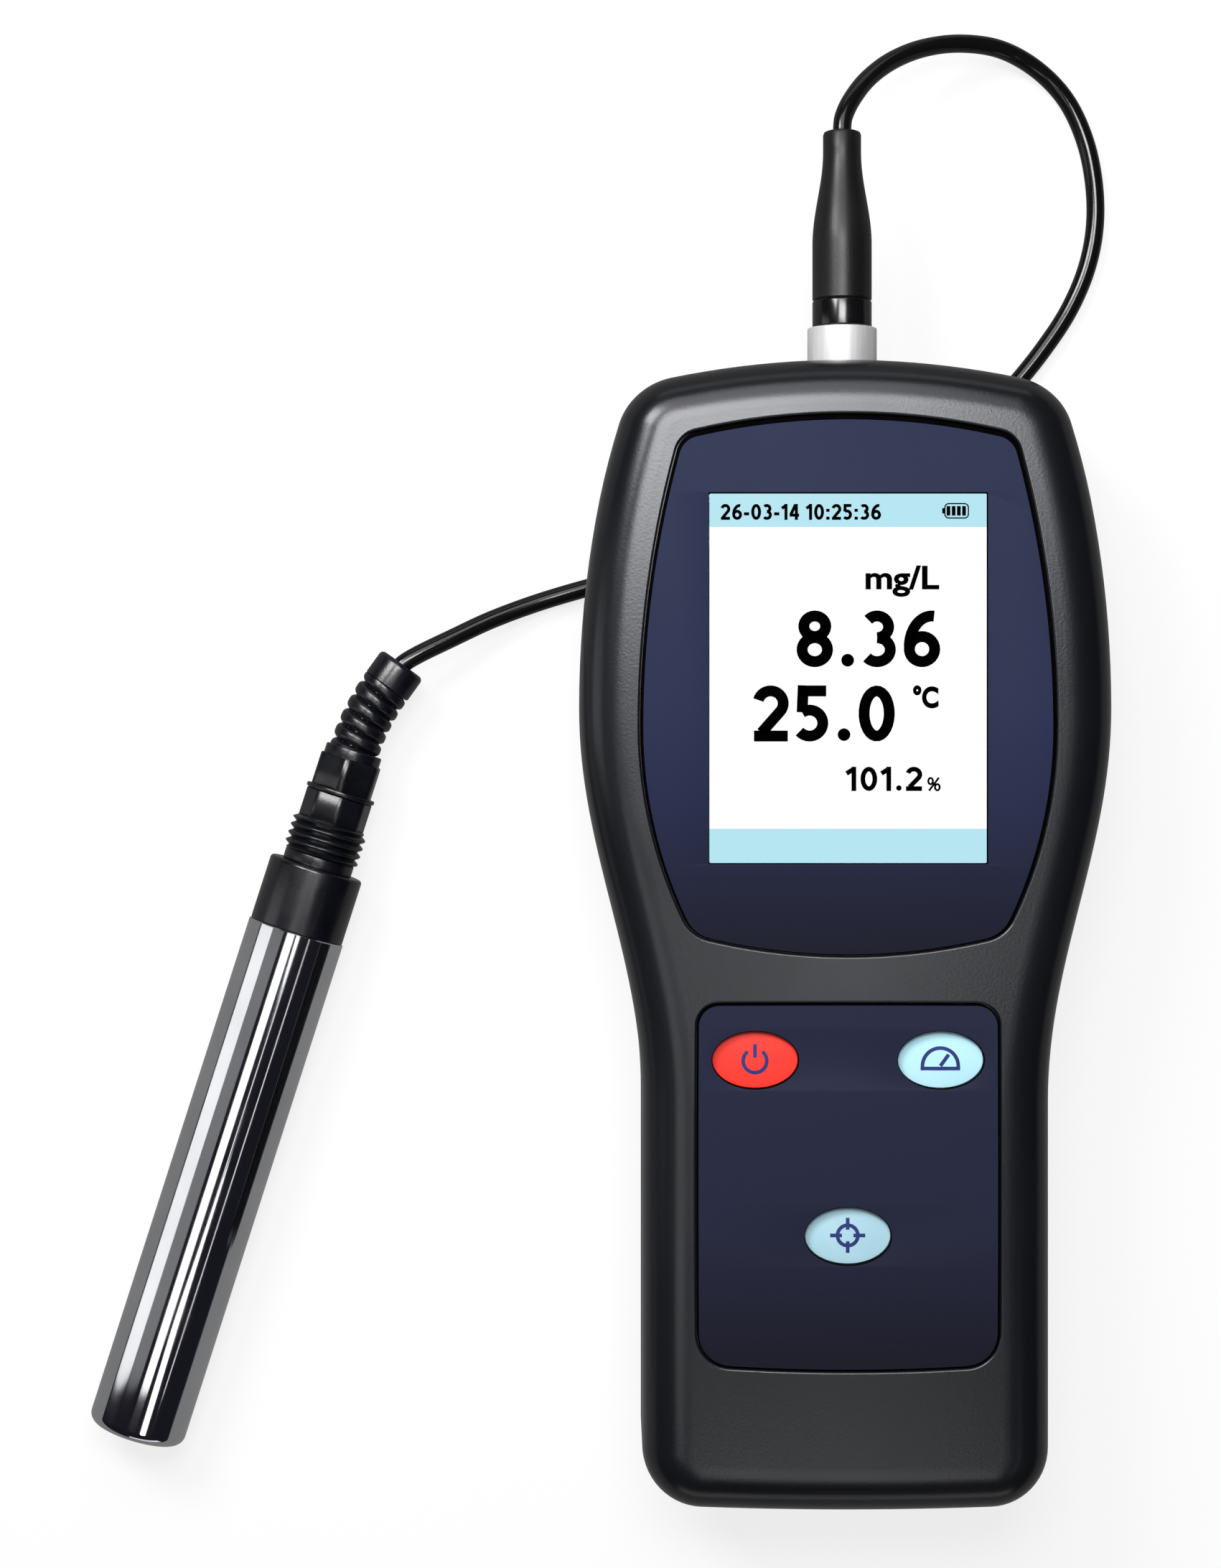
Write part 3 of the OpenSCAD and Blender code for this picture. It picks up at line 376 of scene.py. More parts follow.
class Skin:
    """Points and faces of one piece, gathered ring by ring, in millimetres."""

    def __init__(self):
        self.points, self.faces, self.inks = [], [], []

    def ring(self, outline, z=None):
        first = len(self.points)
        self.points += [(*p, z) if z is not None else tuple(p) for p in outline]
        return list(range(first, len(self.points)))

    def face(self, corners, ink=0):
        corners = tuple(dict.fromkeys(corners))
        if len(corners) > 2:
            self.faces.append(corners)
            self.inks.append(ink)

    def band(self, a, b, ink=0, closed=True):
        n = len(a)
        for i in range(n if closed else n - 1):
            j = (i + 1) % n
            self.face((a[i], a[j], b[j], b[i]), ink)

    def bands(self, rings, ink=0):
        for a, b in zip(rings, rings[1:]):
            self.band(a, b, ink)

    def fill(self, *loops, ink=0):
        """Closes the first loop, around the others as holes."""
        spots = [i for loop in loops for i in loop]
        for t in tessellate_polygon([[Vector(self.points[i][:2]).to_3d() for i in loop] for loop in loops]):
            self.face([spots[i] for i in t], ink)

    def solid(self, rings, ink=0):
        """Bands through the rings, and a face on each end."""
        self.bands(rings, ink)
        self.face(rings[0], ink)
        self.face(rings[-1], ink)
        return self

    def mesh(self, name, place=None):
        """The skin as a mesh in metres. Place turns its frame into the meter's."""
        made = bpy.data.meshes.new(name)
        made.from_pydata(self.points, [], self.faces)
        made.transform(Matrix.Scale(MM, 4) @ (place or Matrix.Identity(4)))
        return made


# Faces that meet at less than this many degrees shade as one
SMOOTH = 32


def outward(mesh, merge=0):
    """Turns a mesh's faces outwards, once its vertices closer than merge are made one."""
    work = bmesh.new()
    work.from_mesh(mesh)
    if merge:
        bmesh.ops.remove_doubles(work, verts=work.verts, dist=merge)
    bmesh.ops.recalc_face_normals(work, faces=work.faces)
    work.to_mesh(mesh)
    work.free()
    return mesh


def piece(name, skin, inks, body, stands_for=(), place=None, smooth=SMOOTH):
    """Makes a skin a finished object on its body."""
    mesh = skin.mesh(name, place)
    for ink in inks:
        mesh.materials.append(ink)
    mesh.polygons.foreach_set("material_index", skin.inks)
    return settle(name, mesh, body, stands_for, smooth)


def settle(name, mesh, body, stands_for=(), smooth=SMOOTH):
    """Closes the mesh of a piece, shades its round faces smooth and puts it on its body."""
    outward(mesh, 0.0005 * MM).shade_smooth()
    mesh.set_sharp_from_angle(angle=radians(smooth))
    made = linked(name, mesh)
    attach(made, body)
    if stands_for:
        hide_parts(*stands_for)
    return made


POCKET_FLOOR = panel_low.z
FRONT_IN = FRONT_Z - FRONT_WALL
RIM_R = 0.35
RIM_STEPS = 5
LEDGES = ((DISPLAY_OUTLINE, 3), (KEYPAD_OUTLINE, 1.2))

DRAFT, DRAFT_FROM = 1.5, 66
NOSE_FULL = 2 / 2.55


def drafted(outline, z):
    """The end wall at the connector leans in a little on its way up, as it leaves its mould."""
    rise = min(max((z - SEAM_HIGH) / (FRONT_Z - NOSE_H - SEAM_HIGH), 0), 1)
    ease = [min(max((y - DRAFT_FROM) / (CONN_Y - DRAFT_FROM), 0), 1) for x, y in outline]
    return [(x, y - DRAFT * rise * e * e * (3 - 2 * e)) for (x, y), e in zip(outline, ease)]


front = Skin()
edge = 0.3
levels = [(edge * s, SEAM_HIGH + edge * c) for c, s in quarter(3)]
levels += [(0, SEAM_HIGH + 3), (0, SEAM_HIGH + 6)]
for k in range(29):
    t = pi / 56 * k
    levels.append((NOSE_W * (1 - cos(t) ** NOSE_FULL), FRONT_Z - NOSE_H + NOSE_H * sin(t) ** NOSE_FULL))
levels.append((NOSE_W + 0.1, FRONT_Z))
outer = [front.ring(drafted(casing(d), z), z) for d, z in levels]
front.bands(outer)
inner = [front.ring(casing(WALL), SEAM_HIGH)]
inner += [front.ring(casing(WALL + (NOSE_W - WALL) * c), FRONT_IN - (NOSE_H - FRONT_WALL) * s)
          for c, s in quarter(6)]
front.bands(inner)
front.band(outer[0], inner[0])
mouths, drops = [], []
for outline, ledge in LEDGES:
    rings = [front.ring(barrel(outline, -RIM_R - 0.05), FRONT_Z)]
    rings += [front.ring(barrel(outline, -RIM_R * s), FRONT_Z - RIM_R * c) for c, s in quarter(RIM_STEPS)]
    rings += [front.ring(barrel(outline, d), z)
              for d, z in ((0, POCKET_FLOOR), (ledge, POCKET_FLOOR), (ledge, FRONT_IN))]
    front.bands(rings)
    mouths.append(rings[0])
    drops.append(rings[-1])
front.fill(outer[-1], *mouths)
front.fill(inner[-1], *drops)

# Moulded ABS with a fine spark-eroded face: it breaks the highlight into a soft satin bloom
abs_satin = finish("moulded_abs_satin", "121316", 0.24, tone=(30, "101114", "141518"),
                   wear=(24, 0.23, 0.27), grain=(0.45, 0.012), IOR=1.5, gloss=0.5,
                   Specular_Tint=srgb("f3f5fa"))
piece("front_casing", front, [abs_satin], "meter", ["front_shell"])

# Seam seal: a cord of black rubber that fills the joint between the shells, a little inside it.
seal = Skin()
seal_low, seal_high = mm_box("seam_seal")
rings = [seal.ring(casing(d), z) for d, z in (
    (0.5, seal_low.z), (0.35, seal_low.z + 0.15), (0.35, seal_high.z - 0.15), (0.5, seal_high.z),
    (WALL - 0.3, seal_high.z), (WALL - 0.3, seal_low.z))]
seal.bands(rings + rings[:1])

# Moulded nitrile rubber: dull and close to black, so the joint reads as one fine line
rubber = finish("nitrile_rubber", "151516", 0.62, tone=(3, "121213", "1a1a1b"), grain=(0.4, 0.02),
                gloss=0.3)
piece("seam_rubber", seal, [rubber], "meter", ["seam_seal"])

# Back shell: the lower half, whose floor rises under the head. Screws go up through four deep
# holes, and the battery door closes the opening under the grip.
REAR_ROUND = 5
LIFT = 11.5
EAR = 8
EAR_REACH = 10
bay_low, bay_high = mm_box("battery_door")
tray_low, tray_high = mm_box("battery_tray")
BAY_W = tray_high.x - 1.2
BAY_Y0, BAY_Y1 = tray_low.y + 1.2, tray_high.y - 1.2
POSTS = [(side * x, y) for x, y in ((30, CONN_Y - 21.6), (25, END_Y + 11.6)) for side in (1, -1)]


def underside(y):
    return max(y - HEAD_Y, 0) * sin(radians(LIFT)) / cos(radians(LIFT))


def rear_ring(skin, d, floor_t, t):
    """Ring of the back shell, a share t of the way from its floor to the seam."""
    outline = casing(d)
    return skin.ring([(x, y, (underside(y) + floor_t) * (1 - t) + SEAM_LOW * t) for x, y in outline])


def floor_cap(skin, loop):
    """Closes a ring whose floor bends at the widest place of the head."""
    n = len(loop)
    for i in range(1, n // 2):
        a, b, c, d = loop[i], loop[i + 1], loop[(n - i - 1) % n], loop[(n - i) % n]
        skin.face((a, b, c, d) if i + 1 < n // 2 else (a, b, d))
    skin.face((loop[0], loop[1], loop[n - 1]))


back = Skin()
outer = [rear_ring(back, REAR_ROUND * s, 0, c * 0.34) for c, s in quarter(9)]
outer += [rear_ring(back, 0, 0, 0.98), rear_ring(back, edge * 0.3, 0, 0.99), rear_ring(back, edge, 0, 1)]
inner = [rear_ring(back, WALL, WALL, 1), rear_ring(back, WALL + 0.4, WALL, 0.3),
         rear_ring(back, WALL + REAR_ROUND * 0.6, WALL, 0)]
back.bands(outer + inner)
floor_cap(back, outer[0])
floor_cap(back, inner[-1])


def circle(r, n, x=0, y=0):
    """n points round a circle."""
    return [(x + r * cos(2 * pi * k / n), y + r * sin(2 * pi * k / n)) for k in range(n)]


def plate(outline, levels, skin=None):
    """Solid of one outline's function of its inset, through (inset, height) levels."""
    skin = skin or Skin()
    return skin.solid([skin.ring(outline(d), z) for d, z in levels])


def slab_skin(x0, x1, y0, y1, z0, z1):
    return plate(lambda d: [(x0, y0), (x1, y0), (x1, y1), (x0, y1)], [(0, z0), (0, z1)])


def post_skin(x, y, rings, sides=48):
    """Upright round solid of (radius, height) rings."""
    return plate(lambda r: circle(r, sides, x, y), rings)


def evaluated(thing):
    """Plain mesh of an object, as its modifiers leave it."""
    bpy.context.view_layer.update()
    return bpy.data.meshes.new_from_object(thing.evaluated_get(bpy.context.evaluated_depsgraph_get()))


def cut(target, cutters, operation="DIFFERENCE"):
    """Takes the cutters out of a piece, or joins them to it, and leaves it a plain mesh."""
    for skin in cutters:
        tool = linked("cutter", outward(skin.mesh("cutter")))
        step = target.modifiers.new("cut", "BOOLEAN")
        step.object, step.operation, step.solver = tool, operation, "EXACT"
        result = evaluated(target)
        target.modifiers.remove(step)
        target.data = result
        bpy.data.objects.remove(tool)
    target.data.set_sharp_from_angle(angle=radians(SMOOTH))


back_casing = piece("back_casing", back, [abs_satin], "meter", ["back_shell"])
openings = [
    slab_skin(-BAY_W, BAY_W, BAY_Y0, BAY_Y1, -1, WALL + 1),
    slab_skin(-EAR, EAR, BAY_Y0 - EAR_REACH, BAY_Y0 + 1, -1, 1.6)
]
for x, y in POSTS:
    mouth = underside(y)
    openings.append(post_skin(x, y, [(4.2, mouth - 0.75), (3, mouth + 0.35), (3, mouth + 3)]))
cut(back_casing, openings)

# Battery door: a flat lid of the same plastic. Two pins at its upper edge are its hinge, five
# grooves give the thumb a hold, and an ear at its foot takes the captive screw.
DOOR_W = bay_high.x - 1.5
DOOR_LOW, DOOR_TOP = bay_low.z, bay_high.z
DOOR_FIT = 0.3
HINGE_Y, HINGE_Z = BAY_Y1 - DOOR_FIT - (DOOR_TOP - DOOR_LOW) / 2, (DOOR_LOW + DOOR_TOP) / 2
PIN_R, PIN_FIT, BORE_LEN = 0.55, 0.05, 1.4
DOOR_Y = BAY_Y0 + DOOR_FIT
EAR_Y = BAY_Y0 - EAR_REACH + DOOR_FIT
EAR_TOP = DOOR_LOW + 1
SCREW_Y = BAY_Y0 - 5.2
GROOVES, GROOVE_PITCH, GROOVE_W = 5, 1.8, 18

door = Skin()
round_r = HINGE_Z - DOOR_LOW
sections = []
for inset, x in ((0.2, -DOOR_W), (0, -DOOR_W + 0.2), (0, DOOR_W - 0.2), (0.2, DOOR_W)):
    r = round_r - inset
    profile = [(DOOR_Y + inset, DOOR_LOW + inset + 0.2), (DOOR_Y + inset + 0.2, DOOR_LOW + inset)]
    profile += [(HINGE_Y + r * sin(pi * k / 12), HINGE_Z - r * cos(pi * k / 12)) for k in range(13)]
    profile += [(DOOR_Y + inset + 0.2, DOOR_TOP - inset), (DOOR_Y + inset, DOOR_TOP - inset - 0.2)]
    sections.append(door.ring([(x, y, z) for y, z in profile]))
door.solid(sections)
battery_door = piece("battery_lid", door, [abs_satin], "battery_door", ["battery_door"])


def rounded_box(w0, w1, l0, l1, r, n=6):
    """Outline of a rectangle with corners of radius r."""
    corners = ((w0 + r, l0 + r, 180), (w1 - r, l0 + r, 270), (w1 - r, l1 - r, 0), (w0 + r, l1 - r, 90))
    return [(x + r * cos(radians(t + 90 * k / n)), y + r * sin(radians(t + 90 * k / n)))
            for x, y, t in corners for k in range(n + 1)]


def lay(skin, place):
    """Moves a skin's points by a matrix."""
    skin.points = [tuple(place @ Vector(p)) for p in skin.points]
    return skin


ear = plate(lambda d: rounded_box(d + DOOR_FIT - EAR, EAR - DOOR_FIT - d, EAR_Y + d, DOOR_Y + 1.5, 1.2 - d),
            [(0.2, DOOR_LOW), (0, DOOR_LOW + 0.2), (0, EAR_TOP - 0.2), (0.2, EAR_TOP)])
HINGE = Matrix.Translation((0, HINGE_Y, HINGE_Z)) @ Matrix.Rotation(-pi / 2, 4, "Y")
hinge_pin = lay(post_skin(0, 0, [(PIN_R - 0.15, -bay_high.x), (PIN_R, -bay_high.x + 0.15),
                                 (PIN_R, bay_high.x - 0.15), (PIN_R - 0.15, bay_high.x)], 24), HINGE)
cut(battery_door, [ear, hinge_pin], "UNION")
grooves = []
for k in range(GROOVES):
    y = BAY_Y0 + 5 + GROOVE_PITCH * k
    grooves.append(plate(
        lambda d: rounded_box(-GROOVE_W / 2 + d, GROOVE_W / 2 - d, y + d, y + 0.8 - d, 0.1),
        [(-0.15, DOOR_LOW - 0.01), (0, DOOR_LOW + 0.15), (0.1, DOOR_LOW + 0.4)]))
screw_hole = post_skin(0, SCREW_Y, [(1.5, DOOR_LOW - 1), (1.5, EAR_TOP + 1)], 32)
cut(battery_door, grooves + [screw_hole])
hinge_room = lay(post_skin(0, 0, [(PIN_R + PIN_FIT, s * (BAY_W + BORE_LEN)) for s in (-1, 1)], 24), HINGE)
cut(back_casing, [hinge_room])


# Screws: steel with a bright zinc coat, turned and rolled. One captive slotted screw holds the
# battery door, four deep ones the shells, and six small ones the board.
def soften(points, r, steps=3, closed=False):
    """Rounds the corners of a line of points."""
    p = [Vector(q) for q in points]
    n = len(p)
    out = []
    for i, q in enumerate(p):
        if not closed and i in (0, n - 1):
            out.append(tuple(q))
            continue
        a, b = p[i - 1] - q, p[(i + 1) % n] - q
        if a.length < 1e-6 or b.length < 1e-6 or a.angle(b) > radians(165):
            out.append(tuple(q))
            continue
        u = q + a * min(r, a.length * 0.45) / a.length
        v = q + b * min(r, b.length * 0.45) / b.length
        for k in range(steps + 1):
            t = k / steps
            out.append(tuple(u * (1 - t) ** 2 + q * 2 * t * (1 - t) + v * t * t))
    return out


def turned(profile, sides=64, inks=None, skin=None, closed=False):
    """Turns a profile of (radius, place along the axis) round the Z axis."""
    skin = skin or Skin()
    loops = [skin.ring([(0, 0)], z) * sides if r < 0.001 else skin.ring(circle(r, sides), z)
             for r, z in profile]
    if closed:
        loops.append(loops[0])
    for i, (a, b) in enumerate(zip(loops, loops[1:])):
        skin.band(a, b, inks(profile[i], profile[(i + 1) % len(profile)]) if inks else 0)
    return skin


zinc = finish("zinc_plated_steel", "b9bcbf", 0.32, tone=(1.5, "a9adb1", "c6c8ca"), grain=(0.3, 0.01),
              Metallic=1.0)
SCREW_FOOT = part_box("door_screw")[1].z / MM
door_screw = turned(soften([(0, DOOR_LOW - 0.4), (2.2, DOOR_LOW - 0.4), (2.2, DOOR_LOW), (1.25, DOOR_LOW),
                            (1.25, SCREW_FOOT - 0.4), (0.9, SCREW_FOOT), (0, SCREW_FOOT)], 0.12), 48)
lay(door_screw, Matrix.Translation((0, SCREW_Y, 0)))
door_fixing = piece("door_fixing", door_screw, [zinc], "battery_door", ["door_screw"])
cut(door_fixing, [slab_skin(-3, 3, SCREW_Y - 0.3, SCREW_Y + 0.3, -1, DOOR_LOW - 0.2)])


def one_part(tree, source):
    """Nodes that read the object to repeat."""
    return add(tree, "GeometryNodeObjectInfo", {"Object": source.outputs["Part"]}).outputs["Geometry"]


def repeat(name, spots, turns, ink, body, stands_for, inputs, build=one_part):
    """Sets copies of a part at spots, each turned by its Euler angles, with Geometry Nodes. Build
    adds the part's nodes, which read the named inputs: an object, or the sizes of its rule."""
    base = bpy.data.meshes.new(name)
    base.from_pydata([Vector(s) * MM for s in spots], [], [])
    spins = base.attributes.new("spin", "FLOAT_VECTOR", "POINT")
    for item, turn in zip(spins.data, turns):
        item.vector = turn
    tree = bpy.data.node_groups.new(name, "GeometryNodeTree")
    kinds = {"Part": "NodeSocketObject", "Finish": "NodeSocketMaterial"}
    values = {**inputs, "Finish": ink}
    for way in ("INPUT", "OUTPUT"):
        tree.interface.new_socket("Geometry", in_out=way, socket_type="NodeSocketGeometry")
    for label in values:
        tree.interface.new_socket(label, in_out="INPUT", socket_type=kinds.get(label, "NodeSocketFloat"))
    source = add(tree, "NodeGroupInput")
    spin = add(tree, "GeometryNodeInputNamedAttribute", {"Name": "spin"}, data_type="FLOAT_VECTOR")
    copies = add(tree, "GeometryNodeInstanceOnPoints", {
        "Points": source.outputs["Geometry"], "Instance": build(tree, source),
        "Rotation": spin.outputs["Attribute"]})
    real = add(tree, "GeometryNodeRealizeInstances", {"Geometry": copies.outputs[0]})
    coated = add(tree, "GeometryNodeSetMaterial", {
        "Geometry": real.outputs[0], "Material": source.outputs["Finish"]})
    add(tree, "NodeGroupOutput", {"Geometry": coated.outputs[0]})
    carrier = linked(name + "_spots", base)
    step = carrier.modifiers.new("repeat", "NODES")
    step.node_group = tree
    for socket in tree.interface.items_tree:
        if socket.name in values:
            step[socket.identifier] = values[socket.name]
    mesh = evaluated(carrier)
    bpy.data.objects.remove(carrier)
    if "Part" in inputs:
        bpy.data.objects.remove(inputs["Part"])
    return settle(name, mesh, body, stands_for)


def loose(name, skin):
    """A skin as an object of its own, for Geometry Nodes to repeat."""
    return linked(name, skin.mesh(name))


def socket_screw(head_d, head_h, shank_d, length, drive, deep):
    """A screw with its head's seat at 0, its shank up and a socket of six sides in its head."""
    sides = 36
    made = turned(soften([(drive / 2 + 0.4, -head_h), (head_d / 2, -head_h), (head_d / 2, 0),
                          (shank_d / 2, 0), (shank_d / 2, length - 0.5), (shank_d / 2 - 0.5, length),
                          (0, length)], 0.25), sides)
    corners = circle(drive / 2, 6)
    flats = [(a[0] + (b[0] - a[0]) * k / 6, a[1] + (b[1] - a[1]) * k / 6)
             for a, b in zip(corners, corners[1:] + corners[:1]) for k in range(6)]
    hexes = [made.ring(flats, z) for z in (-head_h, -head_h + deep)]
    made.bands([list(range(sides))] + hexes)
    made.face(hexes[-1])
    return made


CASE_SEATS = [(x, y, underside(y) + 3) for x, y in POSTS]
case_screw_len = mm_box("case_screws")[1].z - CASE_SEATS[-1][2]
case_screw = loose("case_screw", socket_screw(5.6, 2, 2.9, case_screw_len, 2.4, 1.2))
repeat("shell_screws", CASE_SEATS, [(0, 0, 0.3 * k) for k in range(4)], zinc, "meter",
       ["case_screws"], {"Part": case_screw})
board_z = mm_box("main_board")[0].z
BOARD_POSTS = [(side * x, y, board_z) for x, y in ((28.2, 57.3), (28.2, 8), (20.5, -71.5))
               for side in (1, -1)]
board_screw = loose("board_screw", socket_screw(3.6, 1.3, 2, 6.6, 1.5, 0.7))
repeat("board_fixings", BOARD_POSTS, [(0, 0, 0.4 * k) for k in range(6)], zinc, "meter",
       ["board_screws"], {"Part": board_screw})

# Battery bay: a moulded tray with three AA cells in series. Conical springs press on their flat
# ends and plates on their buttons. The middle cell lies the other way round.
CELL_X = [-15.2, 0, 15.2]
CELL_R, CELL_LEN, CELL_BAND = 7.25, 50.5, 14
CELL_Z = WALL + 0.5 + CELL_R
PLATE_T, SPRING_LEN, SPRING_R, SPRING_TIP_R, WIRE, COILS = 0.5, 3.5, 4.5, 2.1, 0.8, 3.5
BAY_LEN = BAY_Y1 - BAY_Y0
BAY_MID = (BAY_Y0 + BAY_Y1) / 2

abs_inner = finish("moulded_abs_inside", "232428", 0.48, tone=(14, "202125", "27282c"),
                   wear=(8, 0.42, 0.54), grain=(0.5, 0.015), gloss=0.4)
tray = plate(lambda d: rounded_box(tray_low.x + d, tray_high.x - d, tray_low.y + d, tray_high.y - d, 1.2),
             [(0, tray_low.z), (0, tray_high.z - 0.4), (0.4, tray_high.z)])
tray_piece = piece("cell_tray", tray, [abs_inner], "meter", ["battery_tray"])
cut(tray_piece, [slab_skin(-BAY_W, BAY_W, BAY_Y0, BAY_Y1, 0, tray_high.z - 1.2)])
ribs = []
for x in (-7.6, 7.6):
    rib = Skin()
    ends = [[(x - 2.4, y, tray_high.z - 1.1), (x - 0.4, y, 15.2), (x + 0.4, y, 15.2),
             (x + 2.4, y, tray_high.z - 1.1)] for y in (BAY_Y0 - 0.1, BAY_Y1 + 0.1)]
    ribs.append(rib.solid([rib.ring(end) for end in ends]))
cut(tray_piece, ribs, "UNION")

# Shrunk printed sleeve of the cells: glossy film, blue with a bright band at the button's end
sleeve_blue = finish("printed_shrink_film", "2f6fb0", 0.22, tone=(12, "2c69a8", "3374b6"),
                     grain=(2.5, 0.02), gloss=0.5)
sleeve_silver = finish("printed_silver_film", "c3c7ca", 0.3, tone=(6, "b9bdc0", "cdd0d2"), Metallic=0.7)
nickel = finish("nickel_plated_steel", "c9c8c4", 0.25, tone=(2, "bdbcb8", "d4d3cf"), grain=(0.4, 0.008),
                Metallic=1.0)


def cell_ink(a, b):
    z = (a[1] + b[1]) / 2
    if min(a[0], b[0]) < 6:
        return 2
    return 1 if z > CELL_LEN - CELL_BAND else 0


cells = Skin()
for i, x in enumerate(CELL_X):
    band = CELL_LEN - CELL_BAND
    profile = soften([(0, 0.3), (5.9, 0.3), (6.2, 0), (CELL_R, 0), (CELL_R, 20), (CELL_R, band - 0.001),
                      (CELL_R, band + 0.001), (CELL_R, CELL_LEN - 1), (5.6, CELL_LEN - 1),
                      (5.5, CELL_LEN - 1.3), (3, CELL_LEN - 1.3), (2.75, CELL_LEN), (0, CELL_LEN)], 0.5)
    one = turned(profile, 48, cell_ink)
    turn = Matrix.Translation((x, BAY_MID, CELL_Z)) @ Matrix.Rotation(pi * (i % 2), 4, "Z")
    lay(one, turn @ Matrix.Translation((0, PLATE_T + SPRING_LEN - BAY_LEN / 2, 0))
        @ Matrix.Rotation(-pi / 2, 4, "X"))
    first = len(cells.points)
    cells.points += one.points
    cells.faces += [tuple(j + first for j in f) for f in one.faces]
    cells.inks += one.inks
piece("three_cells", cells, [sleeve_blue, sleeve_silver, nickel], "meter", ["batteries"])


def conical_spring(tree, source):
    """Nodes of a round wire wound on a cone."""
    coil = add(tree, "GeometryNodeCurveSpiral", {
        "Resolution": 24, "Rotations": source.outputs["Turns"],
        "Start Radius": source.outputs["Base Radius"], "End Radius": source.outputs["Tip Radius"],
        "Height": source.outputs["Length"]})
    wire = add(tree, "GeometryNodeCurvePrimitiveCircle", {
        "Resolution": 10, "Radius": source.outputs["Wire"]})
    return add(tree, "GeometryNodeCurveToMesh", {
        "Curve": coil.outputs[0], "Profile Curve": wire.outputs[0], "Fill Caps": True}).outputs[0]


ends = [(x, BAY_Y1, -1) if i % 2 else (x, BAY_Y0, 1) for i, x in enumerate(CELL_X)]
inwards = [(-s * pi / 2, 0, 0) for x, y, s in ends]
repeat("cell_springs", [(x, y + s * (PLATE_T + WIRE / 2), CELL_Z) for x, y, s in ends], inwards, nickel,
       "meter", ["battery_springs"], {
           "Base Radius": (SPRING_R - WIRE / 2) * MM, "Tip Radius": SPRING_TIP_R * MM,
           "Length": (SPRING_LEN - WIRE) * MM, "Wire": WIRE / 2 * MM, "Turns": COILS}, conical_spring)
spring_plate = loose("spring_plate", plate(lambda d: rounded_box(-5 + d, 5 - d, -5 + d, 5 - d, 0.8),
                                           [(0, 0), (0, 0.4), (0.1, PLATE_T)]))
repeat("spring_plates", [(x, y, CELL_Z) for x, y, s in ends], inwards, nickel, "meter", (),
       {"Part": spring_plate})

# Sheet brass: rolled, with fine lines of the roll and a warm light
brass = finish("rolled_brass", "c8a95a", 0.3, tone=(1.2, "bd9e50", "d1b468", (0.2, 1, 1)),
               grain=(0.3, 0.01, (0.1, 1, 1)), Metallic=1.0)


def dress(name, ink):
    """Gives a CAD node that keeps its shape its finish."""
    nodes[name].data.materials.clear()
    nodes[name].data.materials.append(ink)


dress("battery_contacts", brass)

# Display panel: a clear acrylic plate printed navy from behind, bonded in the upper pocket. Its
# edge is polished, and a black line runs round it: printed ink, widened at the top and sides as
# painted shade of the gap in the pocket.
SCREEN_W, SCREEN_L = 43.2, 57.6
window_low, window_high = mm_box("display_window")
SCREEN_Y = (window_low.y + window_high.y) / 2
PANEL_TOP = panel_high.z
# Width of the black line and its shift downwards, so that it is widest at the top, as painted shade
DISPLAY_SHADE_LINE, KEYPAD_SHADE_LINE = (0.62, 0.3), (0.38, 0.1)

navy = finish("printed_acrylic_navy", "2b2e47", 0.3, wear=(18, 0.25, 0.34), gloss=0.015,
              IOR=1.49)
tree, shader = inside(navy)
# The ramp makes the navy darker towards the foot of each panel, along the meter's length
place = add(tree, "ShaderNodeTexCoord")
split = add(tree, "ShaderNodeSeparateXYZ", {"Vector": place.outputs["Object"]})
fall = add(tree, "ShaderNodeMapRange", {"Value": split.outputs["Y"], "From Min": END_Y * MM,
                                        "From Max": CONN_Y * MM})
ramp = add(tree, "ShaderNodeValToRGB", {"Fac": fall.outputs[0]})
for k, (y, code) in enumerate(((-66, "1c1d27"), (-46, "25273a"), (-12, "272a3d"), (-5, "1b1c25"),
                               (22, "252943"), (36, "292d46"), (80, "292e46"))):
    stop = ramp.color_ramp.elements[k] if k < 2 else ramp.color_ramp.elements.new(1)
    stop.position, stop.color = (y - END_Y) / (CONN_Y - END_Y), srgb(code)
tree.links.new(ramp.outputs[0], shader.inputs["Base Color"])
# Black ink of the printed line, which also stands for painted shade in the pocket's gap
black_edge_and_shade = finish("printed_edge_and_painted_shade", "030304", 0.5, tone=(3, "020203", "040405"),
                    wear=(5, 0.45, 0.55), gloss=0.005)


def screen_outline(d):
    """Rectangle of the screen, d larger."""
    w, l = SCREEN_W / 2 + d, SCREEN_L / 2 + d
    return rounded_box(-w, w, SCREEN_Y - l, SCREEN_Y + l, 0.15, 3)


def panel_skin(outline, holes, line, edge=0.18):
    """A printed plate with a rounded black edge and a black line, print and painted shade of its gap in
    one. Line gives the line's width and its shift downwards, which leaves it widest at the top. Each hole
    is a function of its growth.
    """
    made = Skin()
    rings = [made.ring(barrel(outline, PANEL_FIT), POCKET_FLOOR)]
    rings += [made.ring(barrel(outline, PANEL_FIT + edge * c), PANEL_TOP - edge * s)
              for c, s in quarter(4)]
    rings.append(made.ring([(x, y - line[1]) for x, y in barrel(outline, line[0])], PANEL_TOP))
    made.bands(rings, 1)
    tops, feet = [rings[-1]], [rings[0]]
    for hole in holes:
        inner = [made.ring(hole(0.12), PANEL_TOP), made.ring(hole(0.035), PANEL_TOP - 0.035),
                 made.ring(hole(0), PANEL_TOP - 0.12), made.ring(hole(0), POCKET_FLOOR)]
        made.bands(inner, 1)
        tops.append(inner[0])
        feet.append(inner[-1])
    made.fill(*tops)
    made.fill(*feet)
    return made


